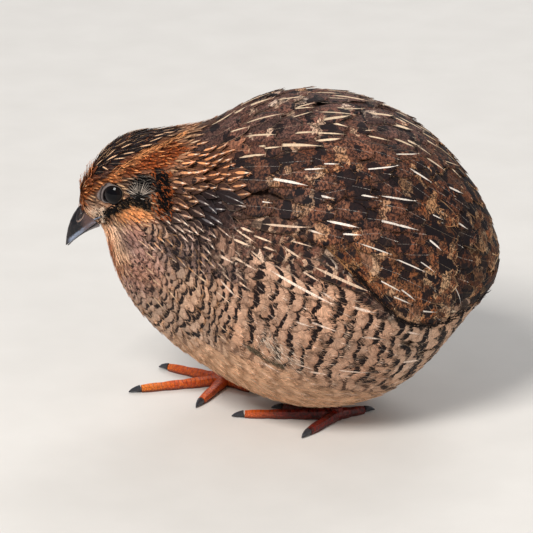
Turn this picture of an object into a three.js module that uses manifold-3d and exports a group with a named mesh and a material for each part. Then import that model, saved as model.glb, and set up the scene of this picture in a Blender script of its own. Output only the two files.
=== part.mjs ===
// A king quail hen, life size in millimetres, standing hunched with her plumage fluffed out.
// She faces -X, her left side faces -Y, and the floor is the plane z = 0.

import * as THREE from "three";
import { mergeVertices } from "three/addons/utils/BufferGeometryUtils.js";
import Module from "manifold-3d";

const wasm = await Module();
wasm.setup();

// The gap between neighbouring pieces, and the left and right side as signs of Y.
const GAP = 0.3;
const LEFT = -1;
const RIGHT = 1;

// The outer surface of the plumage is the smooth union of ellipsoids that stand on the
// plane y = 0. Each has its centre, its half lengths and its tilt about Y in degrees.
const BODY = [
  { at: [9.6, 39.9], half: [37.0, 34.5, 37.4], tilt: 0 },
  { at: [18.9, 51.3], half: [36.4, 22.0, 19.5], tilt: -33.6 },
  { at: [-13.4, 41.2], half: [26.0, 17.0, 31.6], tilt: 42.1 },
];
const NECK = [{ at: [-23.3, 55.5], half: [13.0, 7.0, 13.0], tilt: 0 }];
const HEAD = [
  { at: [-35.0, 60.0], half: [11.2, 7.8, 9.0], tilt: 35 },
  { at: [-41.8, 54.8], half: [7.0, 5.3, 6.2], tilt: 35 },
  { at: [-35.8, 53.2], half: [7.0, 5.8, 5.6], tilt: 0 },
];
const BODY_BLEND = 0.3;
const NECK_BLEND = 1.0;
const HEAD_BLEND = 0.8;
const WHOLE_BLEND = 0.55;

// Under the tail the plumage lies a little deeper than the tail that overhangs it.
const VENT_DEPTH = 0.9;
const VENT_FROM_X = 24;
const VENT_FULL_X = 40;
const VENT_FROM_Z = 36;
const VENT_FULL_Z = 29;

// Points from which the surface of each node is seen whole.
const TORSO_CENTRE = new THREE.Vector3(9.6, 0, 40);
const NECK_CENTRE = new THREE.Vector3(-21, 0, 55);
const HEAD_CENTRE = new THREE.Vector3(-37, 0, 57);
const TAIL_CENTRE = new THREE.Vector3(30, 0, 45);

// The cuts from the nape down to the breast, and from the nape down to the throat.
const NECK_CUT = { top: [-11, 78], bottom: [-42, 43] };
const HEAD_CUT = { top: [-23.5, 72], bottom: [-41, 49] };

// The tail's cut as an outline in the plane y = 0: down the rump, then back under the tail.
const TAIL_CUT = [[37, 80], [41.5, 31.5], [46.5, 31.5], [48, 26], [62, 26], [62, 80]];

// Feathers lie along lines that leave the bill and gather at the tip of the tail.
const LIE_FROM = new THREE.Vector3(-44, 0, 51.5);
const LIE_TO = new THREE.Vector3(56, 0, 16);
const LIE_PINCH = new THREE.Vector3(1, 0.3, 1);
const LIE_DROOP = 0.2;

// The folded wing's outline on the side of the body, as x and z of points round it.
const WING_OUTLINE = [
  [-13, 61], [-9, 57.5], [1, 54], [11.5, 48.5], [21, 42], [28, 35], [33.5, 30.5],
  [37.5, 34], [39, 44], [37, 55], [30, 64], [19, 69.5], [4, 70.5], [-8, 66.5],
];
const WING_CENTRE = [16, 55];
const WING_DEPTH = 3.4;
const WING_SKIN = 1.0;
const WING_RIM = 0.6;

// Vanes: their thickness at root and tip, and how deep root and tip lie in the plumage.
const VANE_THICK = [0.7, 0.55];
const VANE_ROOT = 1.75;
const VANE_TIP = 0.1;
const VANE_CAMBER = 0.2;
const VANE_TILT = 0.35;

// The eye, its ball, and the ring of lids round it.
const EYE_AT = [-36.6, 56.1];
const EYE_LOOK = [-0.4, 0.9, 0.1];
const EYE_RADIUS = 3.1;
const EYE_SUNK = 2.15;
const LID_RADIUS = 2.75;
const LID_WIRE = 0.55;

// The bill's upper and lower outline and the line of the mouth, as x and z.
const CULMEN = [[-44.6, 54.4], [-51.5, 51.0], [-51.9, 41.3]];
const KEEL = [[-40.0, 47.2], [-46.6, 46.3], [-51.0, 41.6]];
const MOUTH = { back: [-41.0, 50.9], front: [-51.6, 41.5] };
const BILL_HALF_WIDTH = 3.3;
const NOSTRIL = { at: [-47.9, 49.4], out: 2.3, half: [0.6, 0.8, 1.5], tilt: 35 };

// Feet: where the toes meet, where each claw ends, and how thick toes and shank are.
const TOE_ROOT_RADIUS = 1.55;
const TOE_TIP_RADIUS = 1.1;
const CLAW_LENGTH = 3.2;
const CLAW_RADIUS = 0.8;
const SHANK_RADIUS = 1.45;
const ANKLE_HEIGHT = 3.4;
const FEET = {
  left: {
    ball: [13.2, -8.5],
    shank: [11.5, -10.5, 17],
    tips: [[-12.2, -7.4], [4.6, -21.0], [-2.6, -2.0], [22.4, -3.2]],
  },
  right: {
    ball: [-13.9, 14],
    shank: [-6.5, 12.5, 22],
    tips: [[-37.6, 8.2], [-30.6, 25.0], [-20.9, -1.8], [-5.4, 6.8]],
  },
};

const PLUMAGE = { color: 0x7a5a40, roughness: 0.85 };
const FLIGHT = { color: 0x5d4331, roughness: 0.8 };
const HORN = { color: 0x2d3440, roughness: 0.35 };
const SCUTES = { color: 0xc4501c, roughness: 0.5 };
const EYE_GLOSS = { color: 0x0c0a0a, roughness: 0.05 };

// A small seeded generator, so that every build draws the same numbers.
function seeded(seed) {
  let state = seed;
  return () => {
    state = (state * 1664525 + 1013904223) % 4294967296;
    return state / 4294967296;
  };
}

// Goes smoothly from 0 at one value to 1 at the other.
function ease(from, to, x) {
  const t = THREE.MathUtils.clamp((x - from) / (to - from), 0, 1);
  return t * t * (3 - 2 * t);
}

// Rough distance from a point to one ellipsoid, negative inside it.
function ellipsoid({ at, half, tilt }, p) {
  const turn = THREE.MathUtils.degToRad(tilt);
  const dx = p.x - at[0];
  const dz = p.z - at[1];
  const x = dx * Math.cos(turn) + dz * Math.sin(turn);
  const z = dz * Math.cos(turn) - dx * Math.sin(turn);
  const k0 = Math.hypot(x / half[0], p.y / half[1], z / half[2]);
  const k1 = Math.hypot(x / half[0] ** 2, p.y / half[1] ** 2, z / half[2] ** 2);
  return (k0 * (k0 - 1)) / (k1 + 1e-9);
}

// The smooth least of some distances.
function blend(distances, sharpness) {
  const least = Math.min(...distances);
  const sum = distances.reduce((s, d) => s + Math.exp(sharpness * (least - d)), 0);
  return least - Math.log(sum) / sharpness;
}

// Distance to the surface of the whole plumage, negative inside it.
function plumage(p) {
  const body = blend(BODY.map((e) => ellipsoid(e, p)), BODY_BLEND);
  const neck = blend(NECK.map((e) => ellipsoid(e, p)), NECK_BLEND);
  const head = blend(HEAD.map((e) => ellipsoid(e, p)), HEAD_BLEND);
  return blend([body, neck, head], WHOLE_BLEND);
}

// The same with the hollow under the tail.
function underparts(p) {
  const back = ease(VENT_FROM_X, VENT_FULL_X, p.x);
  const low = ease(VENT_FROM_Z, VENT_FULL_Z, p.z);
  return plumage(p) + VENT_DEPTH * back * low;
}

// The outward direction at a point of the plumage.
function outward(p) {
  const h = 0.05;
  const slope = ["x", "y", "z"].map((axis) => {
    const ahead = p.clone();
    const behind = p.clone();
    ahead[axis] += h;
    behind[axis] -= h;
    return plumage(ahead) - plumage(behind);
  });
  return new THREE.Vector3(...slope).normalize();
}

// A point moved straight in or out until it lies at a level above the plumage's surface.
function atLevel(p, level) {
  const q = p.clone();
  for (let i = 0; i < 5; i += 1) q.addScaledVector(outward(q), level - plumage(q));
  return q;
}

// How far a ray from a centre runs before it first meets a level of a surface.
const RAY_STEP = 0.8;
function reach(surface, centre, way, level, far) {
  const at = (t) => surface(centre.clone().addScaledVector(way, t)) - level;
  let near = 0;
  while (near + RAY_STEP < far && at(near + RAY_STEP) < 0) near += RAY_STEP;
  let end = Math.min(near + RAY_STEP, far);
  for (let i = 0; i < 18; i += 1) {
    const mid = (near + end) / 2;
    if (at(mid) < 0) near = mid;
    else end = mid;
  }
  return near;
}

// A closed geometry as a solid with its faces pointing out.
function solid(geometry) {
  const bare = geometry.clone();
  bare.deleteAttribute("normal");
  bare.deleteAttribute("uv");
  const merged = mergeVertices(bare, 1e-4);
  const p = merged.attributes.position;
  const corner = (i) => new THREE.Vector3().fromBufferAttribute(p, i);
  const faces = [];
  let volume = 0;
  for (let i = 0; i < merged.index.count; i += 3) {
    const [a, b, c] = [0, 1, 2].map((k) => merged.index.getX(i + k));
    if (a === b || b === c || c === a) continue;
    faces.push([a, b, c]);
    volume += corner(a).dot(corner(b).cross(corner(c)));
  }
  const out = volume > 0 ? faces : faces.map(([a, b, c]) => [a, c, b]);
  const triVerts = new Uint32Array(out.flat());
  const mesh = new wasm.Mesh({ numProp: 3, vertProperties: new Float32Array(p.array), triVerts });
  return new wasm.Manifold(mesh);
}

// A solid's corners and faces, with its shortest edges drawn together wherever that keeps
// the surface closed.
const SHORTEST_EDGE = 0.04;
function tidied(made) {
  const mesh = made.getMesh();
  const spots = Array.from({ length: mesh.numVert }, (_, i) =>
    new THREE.Vector3(...mesh.vertProperties.subarray(3 * i, 3 * i + 3)));
  let faces = Array.from({ length: mesh.numTri }, (_, i) =>
    [...mesh.triVerts.subarray(3 * i, 3 * i + 3)]);
  for (let round = 0; round < 20; round += 1) {
    const around = spots.map(() => new Set());
    faces.forEach((face) => face.forEach((a) => face.forEach((b) => a !== b && around[a].add(b))));
    const drawn = new Map();
    const busy = new Set();
    faces.forEach((face) => face.forEach((a, k) => {
      const b = face[(k + 1) % 3];
      if (a > b || spots[a].distanceTo(spots[b]) > SHORTEST_EDGE) return;
      const near = [...around[a], ...around[b]];
      const shared = [...around[a]].filter((v) => around[b].has(v));
      if (shared.length !== 2 || near.some((v) => busy.has(v))) return;
      near.forEach((v) => busy.add(v));
      drawn.set(b, a);
    }));
    if (drawn.size === 0) break;
    faces = faces.map((face) => face.map((v) => drawn.get(v) ?? v))
      .filter(([a, b, c]) => a !== b && b !== c && c !== a);
  }
  return { spots, faces };
}

// The largest closed surface of a solid, without loose scraps.
function largest(whole) {
  const bodies = whole.decompose();
  return bodies.reduce((best, body) => (body.volume() > best.volume() ? body : best));
}

// Moves every vertex of a geometry by a rule.
function reshape(geometry, rule) {
  const p = geometry.attributes.position;
  for (let i = 0; i < p.count; i += 1) {
    const q = rule(new THREE.Vector3().fromBufferAttribute(p, i), i);
    p.setXYZ(i, q.x, q.y, q.z);
  }
  return geometry;
}

// A ball whose vertices are sent out from a centre to a level of a surface.
function swollen(surface, centre, detail, level, far) {
  const ball = new THREE.IcosahedronGeometry(1, detail);
  const rule = (way) => {
    const unit = way.clone().normalize();
    return centre.clone().addScaledVector(unit, reach(surface, centre, unit, level, far));
  };
  return solid(reshape(ball, rule));
}

// A straight bar across the body whose outline is given in the plane y = 0.
const ACROSS = 100;
function bar(outline) {
  const shape = new THREE.Shape(outline.map(([x, z]) => new THREE.Vector2(x, z)));
  const geometry = new THREE.ExtrudeGeometry(shape, { depth: ACROSS, bevelEnabled: false });
  geometry.translate(0, 0, -ACROSS / 2);
  geometry.rotateX(Math.PI / 2);
  return solid(geometry);
}

// Everything on the bill's side of a cut, moved towards the bill by a shift.
function ahead({ top, bottom }, shift) {
  const [dx, dz] = [bottom[0] - top[0], bottom[1] - top[1]];
  const long = Math.hypot(dx, dz);
  const [nx, nz] = [dz / long, -dx / long];
  const start = [top[0] - dx * 3 + nx * shift, top[1] - dz * 3 + nz * shift];
  const end = [bottom[0] + dx * 3 + nx * shift, bottom[1] + dz * 3 + nz * shift];
  const far = ([x, z]) => [x + nx * ACROSS, z + nz * ACROSS];
  return bar([start, end, far(end), far(start)]);
}

// The direction in which feathers lie at a point.
function lie(p) {
  const away = p.clone().sub(LIE_FROM).normalize();
  const towards = LIE_TO.clone().sub(p).multiply(LIE_PINCH).normalize();
  return away.add(towards).add(new THREE.Vector3(0, 0, -LIE_DROOP));
}

// The part of a direction that runs along the surface.
function along(way, normal) {
  return way.clone().addScaledVector(normal, -way.dot(normal)).normalize();
}

// A thin closed plate whose two faces share their triangles. Each corner is placed by its
// place across (-0.5 to 0.5) and along (0 to 1), and by its face, 0 above and 1 below.
function plate(columns, rows, place) {
  const grid = new THREE.PlaneGeometry(1, 1, columns, rows);
  const p = grid.attributes.position;
  const spots = [0, 1].flatMap((face) =>
    Array.from({ length: p.count }, (_, i) => place(p.getX(i), p.getY(i) + 0.5, face)));
  const faces = [...grid.index.array];
  for (let i = 0; i < grid.index.count; i += 3) {
    const [a, b, c] = [0, 1, 2].map((k) => grid.index.getX(i + k) + p.count);
    faces.push(a, c, b);
  }
  const wide = columns + 1;
  const rim = [];
  for (let i = 0; i < columns; i += 1) rim.push(i);
  for (let j = 0; j < rows; j += 1) rim.push(columns + j * wide);
  for (let i = columns; i > 0; i -= 1) rim.push(rows * wide + i);
  for (let j = rows; j > 0; j -= 1) rim.push(j * wide);
  rim.forEach((a, k) => {
    const b = rim[(k + 1) % rim.length];
    faces.push(a, b, b + p.count, a, b + p.count, a + p.count);
  });
  const geometry = new THREE.BufferGeometry().setFromPoints(spots);
  return solid(geometry.setIndex(faces));
}

// One feather vane: it starts sunk in the plumage, follows a direction over the surface,
// and ends free just at the surface. It is widest a little past its middle.
const VANE_ROWS = 4;
function vane({ root, way, length, width, tilt }) {
  const line = [atLevel(root, 0)];
  const sides = [];
  for (let i = 0; i <= VANE_ROWS; i += 1) {
    const normal = outward(line[i]);
    const forward = along(way(line[i]), normal);
    sides.push(new THREE.Vector3().crossVectors(normal, forward));
    line.push(atLevel(line[i].clone().addScaledVector(forward, length / VANE_ROWS), 0));
  }
  return plate(2, VANE_ROWS, (across, up, face) => {
    const i = Math.round(up * VANE_ROWS);
    const wide = width * Math.sin(Math.PI * (0.16 + 0.74 * up));
    const spot = line[i].clone().addScaledVector(sides[i], across * wide);
    const bow = VANE_CAMBER * (1 - 4 * across * across) + 2 * tilt * across * up;
    const top = THREE.MathUtils.lerp(-VANE_ROOT, -VANE_TIP, up) + bow;
    const thick = THREE.MathUtils.lerp(...VANE_THICK, up);
    return atLevel(spot, top - face * thick);
  });
}

// A point on the side of the body, by its x and z.
function onSide(x, z, side) {
  const middle = new THREE.Vector3(x, 0, z);
  const way = new THREE.Vector3(0, side, 0);
  return middle.clone().addScaledVector(way, reach(plumage, middle, way, 0, 60));
}

// A point on a curve through three points of the plane y = 0.
function onCurve(points, t) {
  const curve = new THREE.CatmullRomCurve3(points.map(([x, z]) => new THREE.Vector3(x, 0, z)));
  const p = curve.getPointAt(t);
  return [p.x, p.z];
}

// A curved slab on the side of the body inside the wing's outline. Its section is a list of
// places from the middle of the wing (0) to its rim (1), each with its level.
const WING_SPOKES = 30;
function wingSlab(side, section, grow) {
  const loop = new THREE.CatmullRomCurve3(
    WING_OUTLINE.map(([x, z]) => new THREE.Vector3(x, 0, z)), true);
  const rim = loop.getSpacedPoints(WING_SPOKES);
  const centre = new THREE.Vector3(WING_CENTRE[0], 0, WING_CENTRE[1]);
  const profile = section.map(([out, level]) => new THREE.Vector2(out, level));
  const geometry = new THREE.LatheGeometry(profile, WING_SPOKES);
  const rule = (_, i) => {
    const edge = rim[Math.floor(i / section.length) % WING_SPOKES].clone().sub(centre);
    edge.setLength(edge.length() + grow);
    const [out, level] = section[i % section.length];
    const spot = centre.clone().addScaledVector(edge, out);
    const skin = onSide(spot.x, spot.z, side);
    return skin.addScaledVector(outward(skin), level);
  };
  return solid(reshape(geometry, rule));
}

// The folded wing's tiers of coverts, from the shoulder back: where the tier starts along
// the wing, how many vanes it has, and their length and width.
const WING_LOWER = [[-12, 60.5], [11, 50], [31, 33]];
const WING_UPPER = [[-10, 64.5], [10, 68.5], [36, 57]];
const COVERTS = [
  { start: 0.02, count: 2, length: 9, width: 5 },
  { start: 0.12, count: 3, length: 10, width: 5.6 },
  { start: 0.24, count: 4, length: 12, width: 6.2 },
  { start: 0.37, count: 5, length: 13, width: 6.6 },
  { start: 0.5, count: 5, length: 15, width: 7.2 },
];
// The long feathers behind them, as x and z of the first and last root and tip.
const QUILLS = [
  { count: 4, roots: [[17, 64], [21, 52]], tips: [[38.5, 52], [38.5, 38]], width: 8.5 },
  { count: 5, roots: [[15, 50], [12, 49]], tips: [[37, 33], [21, 40.5]], width: 5.4 },
];

function wingVanes(side) {
  const random = seeded(side > 0 ? 71 : 29);
  const vary = (spread) => 1 + spread * (random() - 0.5);
  const vanes = [];
  for (const { count, roots, tips, width } of QUILLS) {
    for (let i = 0; i < count; i += 1) {
      const t = i / (count - 1);
      const mix = ([a, b]) => onSide(
        THREE.MathUtils.lerp(a[0], b[0], t), THREE.MathUtils.lerp(a[1], b[1], t), side);
      const root = mix(roots);
      const tip = mix(tips);
      const length = root.distanceTo(tip) * vary(0.06);
      const way = (p) => tip.clone().sub(p).add(lie(p));
      vanes.push(vane({ root, way, length, width: width * vary(0.1), tilt: side * VANE_TILT }));
    }
  }
  for (const { start, count, length, width } of COVERTS) {
    const low = onCurve(WING_LOWER, start);
    const high = onCurve(WING_UPPER, start);
    for (let i = 0; i < count; i += 1) {
      const t = (i + 0.5) / count;
      const x = THREE.MathUtils.lerp(low[0], high[0], t) + 1.5 * (random() - 0.5);
      const root = onSide(x, THREE.MathUtils.lerp(low[1], high[1], t), side);
      const size = { length: length * vary(0.16), width: width * vary(0.14) };
      vanes.push(vane({ root, way: lie, ...size, tilt: side * VANE_TILT }));
    }
  }
  return vanes;
}

function wing(side) {
  const core = wingSlab(side, [
    [0, -WING_SKIN], [0.33, -WING_SKIN], [0.66, -WING_SKIN], [0.94, -WING_RIM],
    [1, -WING_RIM - 0.4], [1, -WING_DEPTH], [0.66, -WING_DEPTH], [0.33, -WING_DEPTH],
    [0, -WING_DEPTH],
  ], 0);
  const room = wingSlab(side, [
    [0, 3], [0.33, 3], [0.66, 3], [1, 3], [1, -WING_DEPTH], [0.66, -WING_DEPTH],
    [0.33, -WING_DEPTH], [0, -WING_DEPTH],
  ], 0);
  const whole = wingVanes(side).reduce((sum, one) => sum.add(one), core);
  return largest(whole.intersect(room));
}

// The bed that the wing lies in.
function wingBed(side) {
  const floor = -WING_DEPTH - GAP;
  return wingSlab(side, [
    [0, 9], [0.33, 9], [0.66, 9], [1, 9], [1, floor], [0.66, floor], [0.33, floor], [0, floor],
  ], GAP);
}

// The tail droops behind the rump under tiers of coverts: the height of each tier's roots,
// how far they spread to each side, and the number and size of the vanes.
const TAIL_TIERS = [
  { height: 46, spread: 10, count: 6, length: 20, width: 6.4 },
  { height: 45, spread: 15, count: 2, length: 14, width: 6.4 },
  { height: 52, spread: 13.5, count: 6, length: 14, width: 6.6 },
  { height: 58, spread: 12, count: 5, length: 14, width: 7 },
  { height: 64, spread: 8, count: 4, length: 13, width: 7 },
];
const TAIL_CORE_END = 30.5;

function tail(cut) {
  const random = seeded(53);
  const core = swollen((p) => plumage(p) + WING_SKIN, TAIL_CENTRE, 6, 0, 60);
  const below = bar([[0, 0], [80, 0], [80, TAIL_CORE_END], [0, TAIL_CORE_END]]);
  const down = (p) => new THREE.Vector3(0.5, -0.012 * p.y, -1);
  const vanes = TAIL_TIERS.flatMap(({ height, spread, count, length, width }) =>
    Array.from({ length: count }, (_, i) => {
      const y = spread * (2 * (i / (count - 1)) - 1);
      const middle = new THREE.Vector3(TAIL_CENTRE.x, y, height + random() - Math.abs(y) / 4);
      const back = new THREE.Vector3(1, 0, 0);
      const root = middle.addScaledVector(back, reach(plumage, middle, back, 0, 60));
      const size = { length: length * (0.94 + 0.12 * random()), width };
      return vane({ root, way: down, ...size, tilt: y < 0 ? -VANE_TILT : VANE_TILT });
    }));
  const whole = vanes.reduce((sum, one) => sum.add(one), core.subtract(below));
  return largest(whole.intersect(cut));
}

// The eye: the middle of its ball and the way it looks.
function eyePlace(side) {
  const look = new THREE.Vector3(EYE_LOOK[0], side * EYE_LOOK[1], EYE_LOOK[2]).normalize();
  const middle = new THREE.Vector3(EYE_AT[0], 0, EYE_AT[1]);
  const skin = middle.clone().addScaledVector(look, reach(plumage, middle, look, 0, 30));
  return { look, middle: skin.addScaledVector(look, -EYE_SUNK) };
}

function eyeBall(side, radius, detail) {
  const { middle } = eyePlace(side);
  return solid(new THREE.IcosahedronGeometry(radius, detail).translate(...middle));
}

function lids(side) {
  const { look, middle } = eyePlace(side);
  const ring = new THREE.TorusGeometry(LID_RADIUS, LID_WIRE, 7, 20);
  const height = Math.sqrt(EYE_RADIUS ** 2 - (LID_RADIUS - LID_WIRE / 2) ** 2);
  const turn = new THREE.Quaternion().setFromUnitVectors(new THREE.Vector3(0, 0, 1), look);
  ring.applyQuaternion(turn);
  ring.translate(...middle.clone().addScaledVector(look, height));
  return solid(ring);
}

function head() {
  let whole = swollen(plumage, HEAD_CENTRE, 6, 0, 40).intersect(ahead(HEAD_CUT, GAP / 2));
  for (const side of [LEFT, RIGHT]) whole = whole.add(lids(side));
  for (const side of [LEFT, RIGHT]) whole = whole.subtract(eyeBall(side, EYE_RADIUS + GAP, 4));
  return largest(whole);
}

// The whole bill: each section spans from the keel to the culmen and is narrower on top.
function bill() {
  const curve = (points) =>
    new THREE.QuadraticBezierCurve(...points.map(([x, z]) => new THREE.Vector2(x, z)));
  const culmen = curve(CULMEN);
  const keel = curve(KEEL);
  const rule = (p) => {
    const t = 0.5 - p.y;
    const top = culmen.getPoint(t);
    const low = keel.getPoint(t);
    const middle = top.clone().add(low).multiplyScalar(0.5);
    const rise = top.clone().sub(low).multiplyScalar(0.5 * p.z);
    const wide = 0.35 + BILL_HALF_WIDTH * (1 - t) ** 0.85;
    return new THREE.Vector3(
      middle.x + rise.x, p.x * wide * (1 - 0.28 * p.z), middle.y + rise.y);
  };
  return solid(reshape(new THREE.CylinderGeometry(1, 1, 1, 16, 8), rule));
}

function nostril(side) {
  const hole = new THREE.IcosahedronGeometry(1, 2).scale(...NOSTRIL.half);
  hole.rotateY(THREE.MathUtils.degToRad(NOSTRIL.tilt));
  return solid(hole.translate(NOSTRIL.at[0], side * NOSTRIL.out, NOSTRIL.at[1]));
}

function bills() {
  const face = swollen(plumage, HEAD_CENTRE, 6, GAP, 40);
  const whole = bill().subtract(face);
  const mouth = { top: MOUTH.back, bottom: MOUTH.front };
  let upper = whole.intersect(ahead(mouth, GAP / 2));
  for (const side of [LEFT, RIGHT]) upper = upper.subtract(nostril(side));
  return { upper: largest(upper), lower: largest(whole.subtract(ahead(mouth, -GAP / 2))) };
}

// A round limb along a curve through some points, with its radius at each place along it.
function limb(points, radius, sides, steps) {
  const curve = new THREE.CatmullRomCurve3(points);
  const whole = points[points.length - 1].clone().sub(points[0]).normalize();
  const steady = new THREE.Vector3(...(Math.abs(whole.z) > 0.7 ? [1, 0, 0] : [0, 0, 1]));
  const rule = (p) => {
    const t = 0.5 - p.y;
    const way = curve.getTangentAt(t);
    const side = new THREE.Vector3().crossVectors(way, steady).normalize();
    const rise = new THREE.Vector3().crossVectors(side, way);
    const r = radius(t);
    return curve.getPointAt(t).addScaledVector(side, p.x * r).addScaledVector(rise, p.z * r);
  };
  return solid(reshape(new THREE.CylinderGeometry(1, 1, 1, sides, steps), rule));
}

// Where a toe's flesh ends and its claw begins.
function toeEnd(ball, tip, shift) {
  const way = new THREE.Vector2(tip[0] - ball[0], tip[1] - ball[1]).normalize();
  const back = CLAW_LENGTH - shift;
  return [tip[0] - way.x * back, tip[1] - way.y * back];
}

// One toe: flat under its pads, which swell a little between the joints.
const TOE_PRESS = 0.3;
function toe(ball, tip) {
  const [x, y] = toeEnd(ball, tip, 0);
  const mix = THREE.MathUtils.lerp;
  const points = [0, 0.5, 1].map((t) => new THREE.Vector3(
    mix(ball[0], x, t), mix(ball[1], y, t), mix(TOE_ROOT_RADIUS, TOE_TIP_RADIUS, t) - TOE_PRESS));
  const long = Math.hypot(x - ball[0], y - ball[1]);
  const pads = Math.max(2, Math.round(long / 6));
  const radius = (t) => mix(TOE_ROOT_RADIUS, TOE_TIP_RADIUS, t)
    * (1 - 0.07 * Math.cos(2 * Math.PI * pads * t));
  return limb(points, radius, 8, 3 * pads);
}

function claw(ball, tip) {
  const [x, y] = toeEnd(ball, tip, GAP);
  const points = [
    new THREE.Vector3(x, y, CLAW_RADIUS + 0.15),
    new THREE.Vector3((x + tip[0]) / 2, (y + tip[1]) / 2, CLAW_RADIUS),
    new THREE.Vector3(tip[0], tip[1], 0.3),
  ];
  return limb(points, (t) => CLAW_RADIUS * (1 - t) ** 0.7 + 0.14, 6, 3);
}

// The shank's line from the ball of the foot, cut off at a height.
function shankPoint({ ball, shank }, height) {
  const low = new THREE.Vector3(ball[0], ball[1], TOE_ROOT_RADIUS);
  const high = new THREE.Vector3(...shank);
  return low.lerp(high, (height - low.z) / (high.z - low.z));
}

function foot(spec) {
  const ankle = [shankPoint(spec, TOE_ROOT_RADIUS - 0.6), shankPoint(spec, ANKLE_HEIGHT)];
  const toes = spec.tips.map((tip) => toe(spec.ball, tip));
  const ball = new THREE.IcosahedronGeometry(TOE_ROOT_RADIUS * 1.15, 3);
  ball.translate(spec.ball[0], spec.ball[1], TOE_ROOT_RADIUS - TOE_PRESS);
  const parts = [...toes, limb(ankle, () => SHANK_RADIUS, 12, 1)];
  const whole = parts.reduce((sum, one) => sum.add(one), solid(ball));
  const floor = bar([[-90, -20], [90, -20], [90, 0], [-90, 0]]);
  return largest(whole.subtract(floor));
}

function leg(spec, extra) {
  const start = shankPoint(spec, ANKLE_HEIGHT);
  const end = new THREE.Vector3(...spec.shank);
  const way = end.clone().sub(start).normalize();
  const low = start.clone().addScaledVector(way, extra > 0 ? -extra : GAP);
  const high = end.clone().addScaledVector(way, extra);
  return limb([low, high], (t) => SHANK_RADIUS + extra + 0.5 * t, 12, 4);
}

function torso(tailCut) {
  let whole = swollen(underparts, TORSO_CENTRE, 7, 0, 90);
  whole = whole.subtract(ahead(NECK_CUT, -GAP / 2)).subtract(tailCut);
  for (const side of [LEFT, RIGHT]) whole = whole.subtract(wingBed(side));
  for (const spec of Object.values(FEET)) whole = whole.subtract(leg(spec, GAP));
  return largest(whole);
}

function neck() {
  const whole = swollen(plumage, NECK_CENTRE, 9, 0, 34);
  return largest(whole.intersect(ahead(NECK_CUT, GAP / 2)).subtract(ahead(HEAD_CUT, -GAP / 2)));
}

const group = new THREE.Group();

function piece(name, made, look) {
  const { spots, faces } = tidied(made);
  const geometry = new THREE.BufferGeometry().setFromPoints(spots).setIndex(faces.flat());
  const body = new THREE.Mesh(geometry, new THREE.MeshStandardMaterial({ metalness: 0, ...look }));
  body.name = name;
  group.add(body);
}

piece("torso", torso(bar(TAIL_CUT)), PLUMAGE);
piece("neck", neck(), PLUMAGE);
piece("head", head(), PLUMAGE);
const tailRoom = TAIL_CUT.map(([x, z]) => [x + (x < 50 ? GAP : 0), z + (z < 50 ? GAP : 0)]);
piece("tail", tail(bar(tailRoom)), FLIGHT);
const { upper, lower } = bills();
piece("bill_upper", upper, HORN);
piece("bill_lower", lower, HORN);
for (const [name, side] of [["left", LEFT], ["right", RIGHT]]) {
  piece(`wing_${name}`, wing(side), FLIGHT);
  piece(`eye_${name}`, eyeBall(side, EYE_RADIUS, 3), EYE_GLOSS);
  piece(`foot_${name}`, foot(FEET[name]), SCUTES);
  piece(`leg_${name}`, leg(FEET[name], 0), SCUTES);
  FEET[name].tips.forEach((tip, i) => {
    piece(`claw_${name}_${i + 1}`, largest(claw(FEET[name].ball, tip)), HORN);
  });
}

export default group;
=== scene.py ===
"""A king quail hen, life size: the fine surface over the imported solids. Lengths are in
millimetres until a mesh is made. She faces -X, her left side faces -Y, the floor is z = 0."""

import math

import bmesh
import bpy
import numpy as np
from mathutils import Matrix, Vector
from mathutils.bvhtree import BVHTree
from mathutils.kdtree import KDTree


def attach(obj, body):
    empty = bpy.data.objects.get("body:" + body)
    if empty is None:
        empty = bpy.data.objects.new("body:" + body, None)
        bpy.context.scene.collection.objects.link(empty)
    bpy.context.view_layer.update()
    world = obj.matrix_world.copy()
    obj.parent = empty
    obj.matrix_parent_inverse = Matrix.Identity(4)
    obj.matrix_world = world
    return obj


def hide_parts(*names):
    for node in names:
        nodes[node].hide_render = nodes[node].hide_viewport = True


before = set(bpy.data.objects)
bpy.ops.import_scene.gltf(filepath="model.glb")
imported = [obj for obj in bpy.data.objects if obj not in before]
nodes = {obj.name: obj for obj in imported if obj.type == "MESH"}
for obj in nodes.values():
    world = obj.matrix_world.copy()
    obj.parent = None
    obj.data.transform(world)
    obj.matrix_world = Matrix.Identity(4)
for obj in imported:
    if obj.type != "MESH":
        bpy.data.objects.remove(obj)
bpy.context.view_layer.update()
MM = 0.001
SIDES = (("left", -1), ("right", 1))

# The plumage's outer surface: a smooth union of ellipsoids on the plane y = 0, each with
# its centre (x, z), its half lengths and its tilt about Y in degrees.
BODY = [
    ((9.6, 39.9), (37.0, 34.5, 37.4), 0.0),
    ((18.9, 51.3), (36.4, 22.0, 19.5), -33.6),
    ((-13.4, 41.2), (26.0, 17.0, 31.6), 42.1),
]
NECK = [((-23.3, 55.5), (13.0, 7.0, 13.0), 0.0)]
HEAD = [
    ((-35.0, 60.0), (11.2, 7.8, 9.0), 35.0),
    ((-41.8, 54.8), (7.0, 5.3, 6.2), 35.0),
    ((-35.8, 53.2), (7.0, 5.8, 5.6), 0.0),
]
# how sharply the parts of each form meet, and the forms themselves
FORMS = ((BODY, 0.3), (NECK, 1.0), (HEAD, 0.8))
FORMS_MEET = 0.55
RUMP_HOLLOW = 0.9

# feathers lie away from the first point and towards the second
LIE_FROM = np.array([-44.0, 0.0, 51.5])
LIE_TO = np.array([56.0, 0.0, 16.0])
LIE_PINCH = np.array([1.0, 0.3, 1.0])
LIE_DROOP = 0.2

EYE_AT = np.array([-36.6, 0.0, 56.1])
EYE_LOOK = np.array([-0.4, 0.9, 0.1])
EYE_FRONT = np.array([-1.0, 0, -0.45])
EYE_RADIUS = 3.25
EYE_SUNK = 2.2

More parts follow.
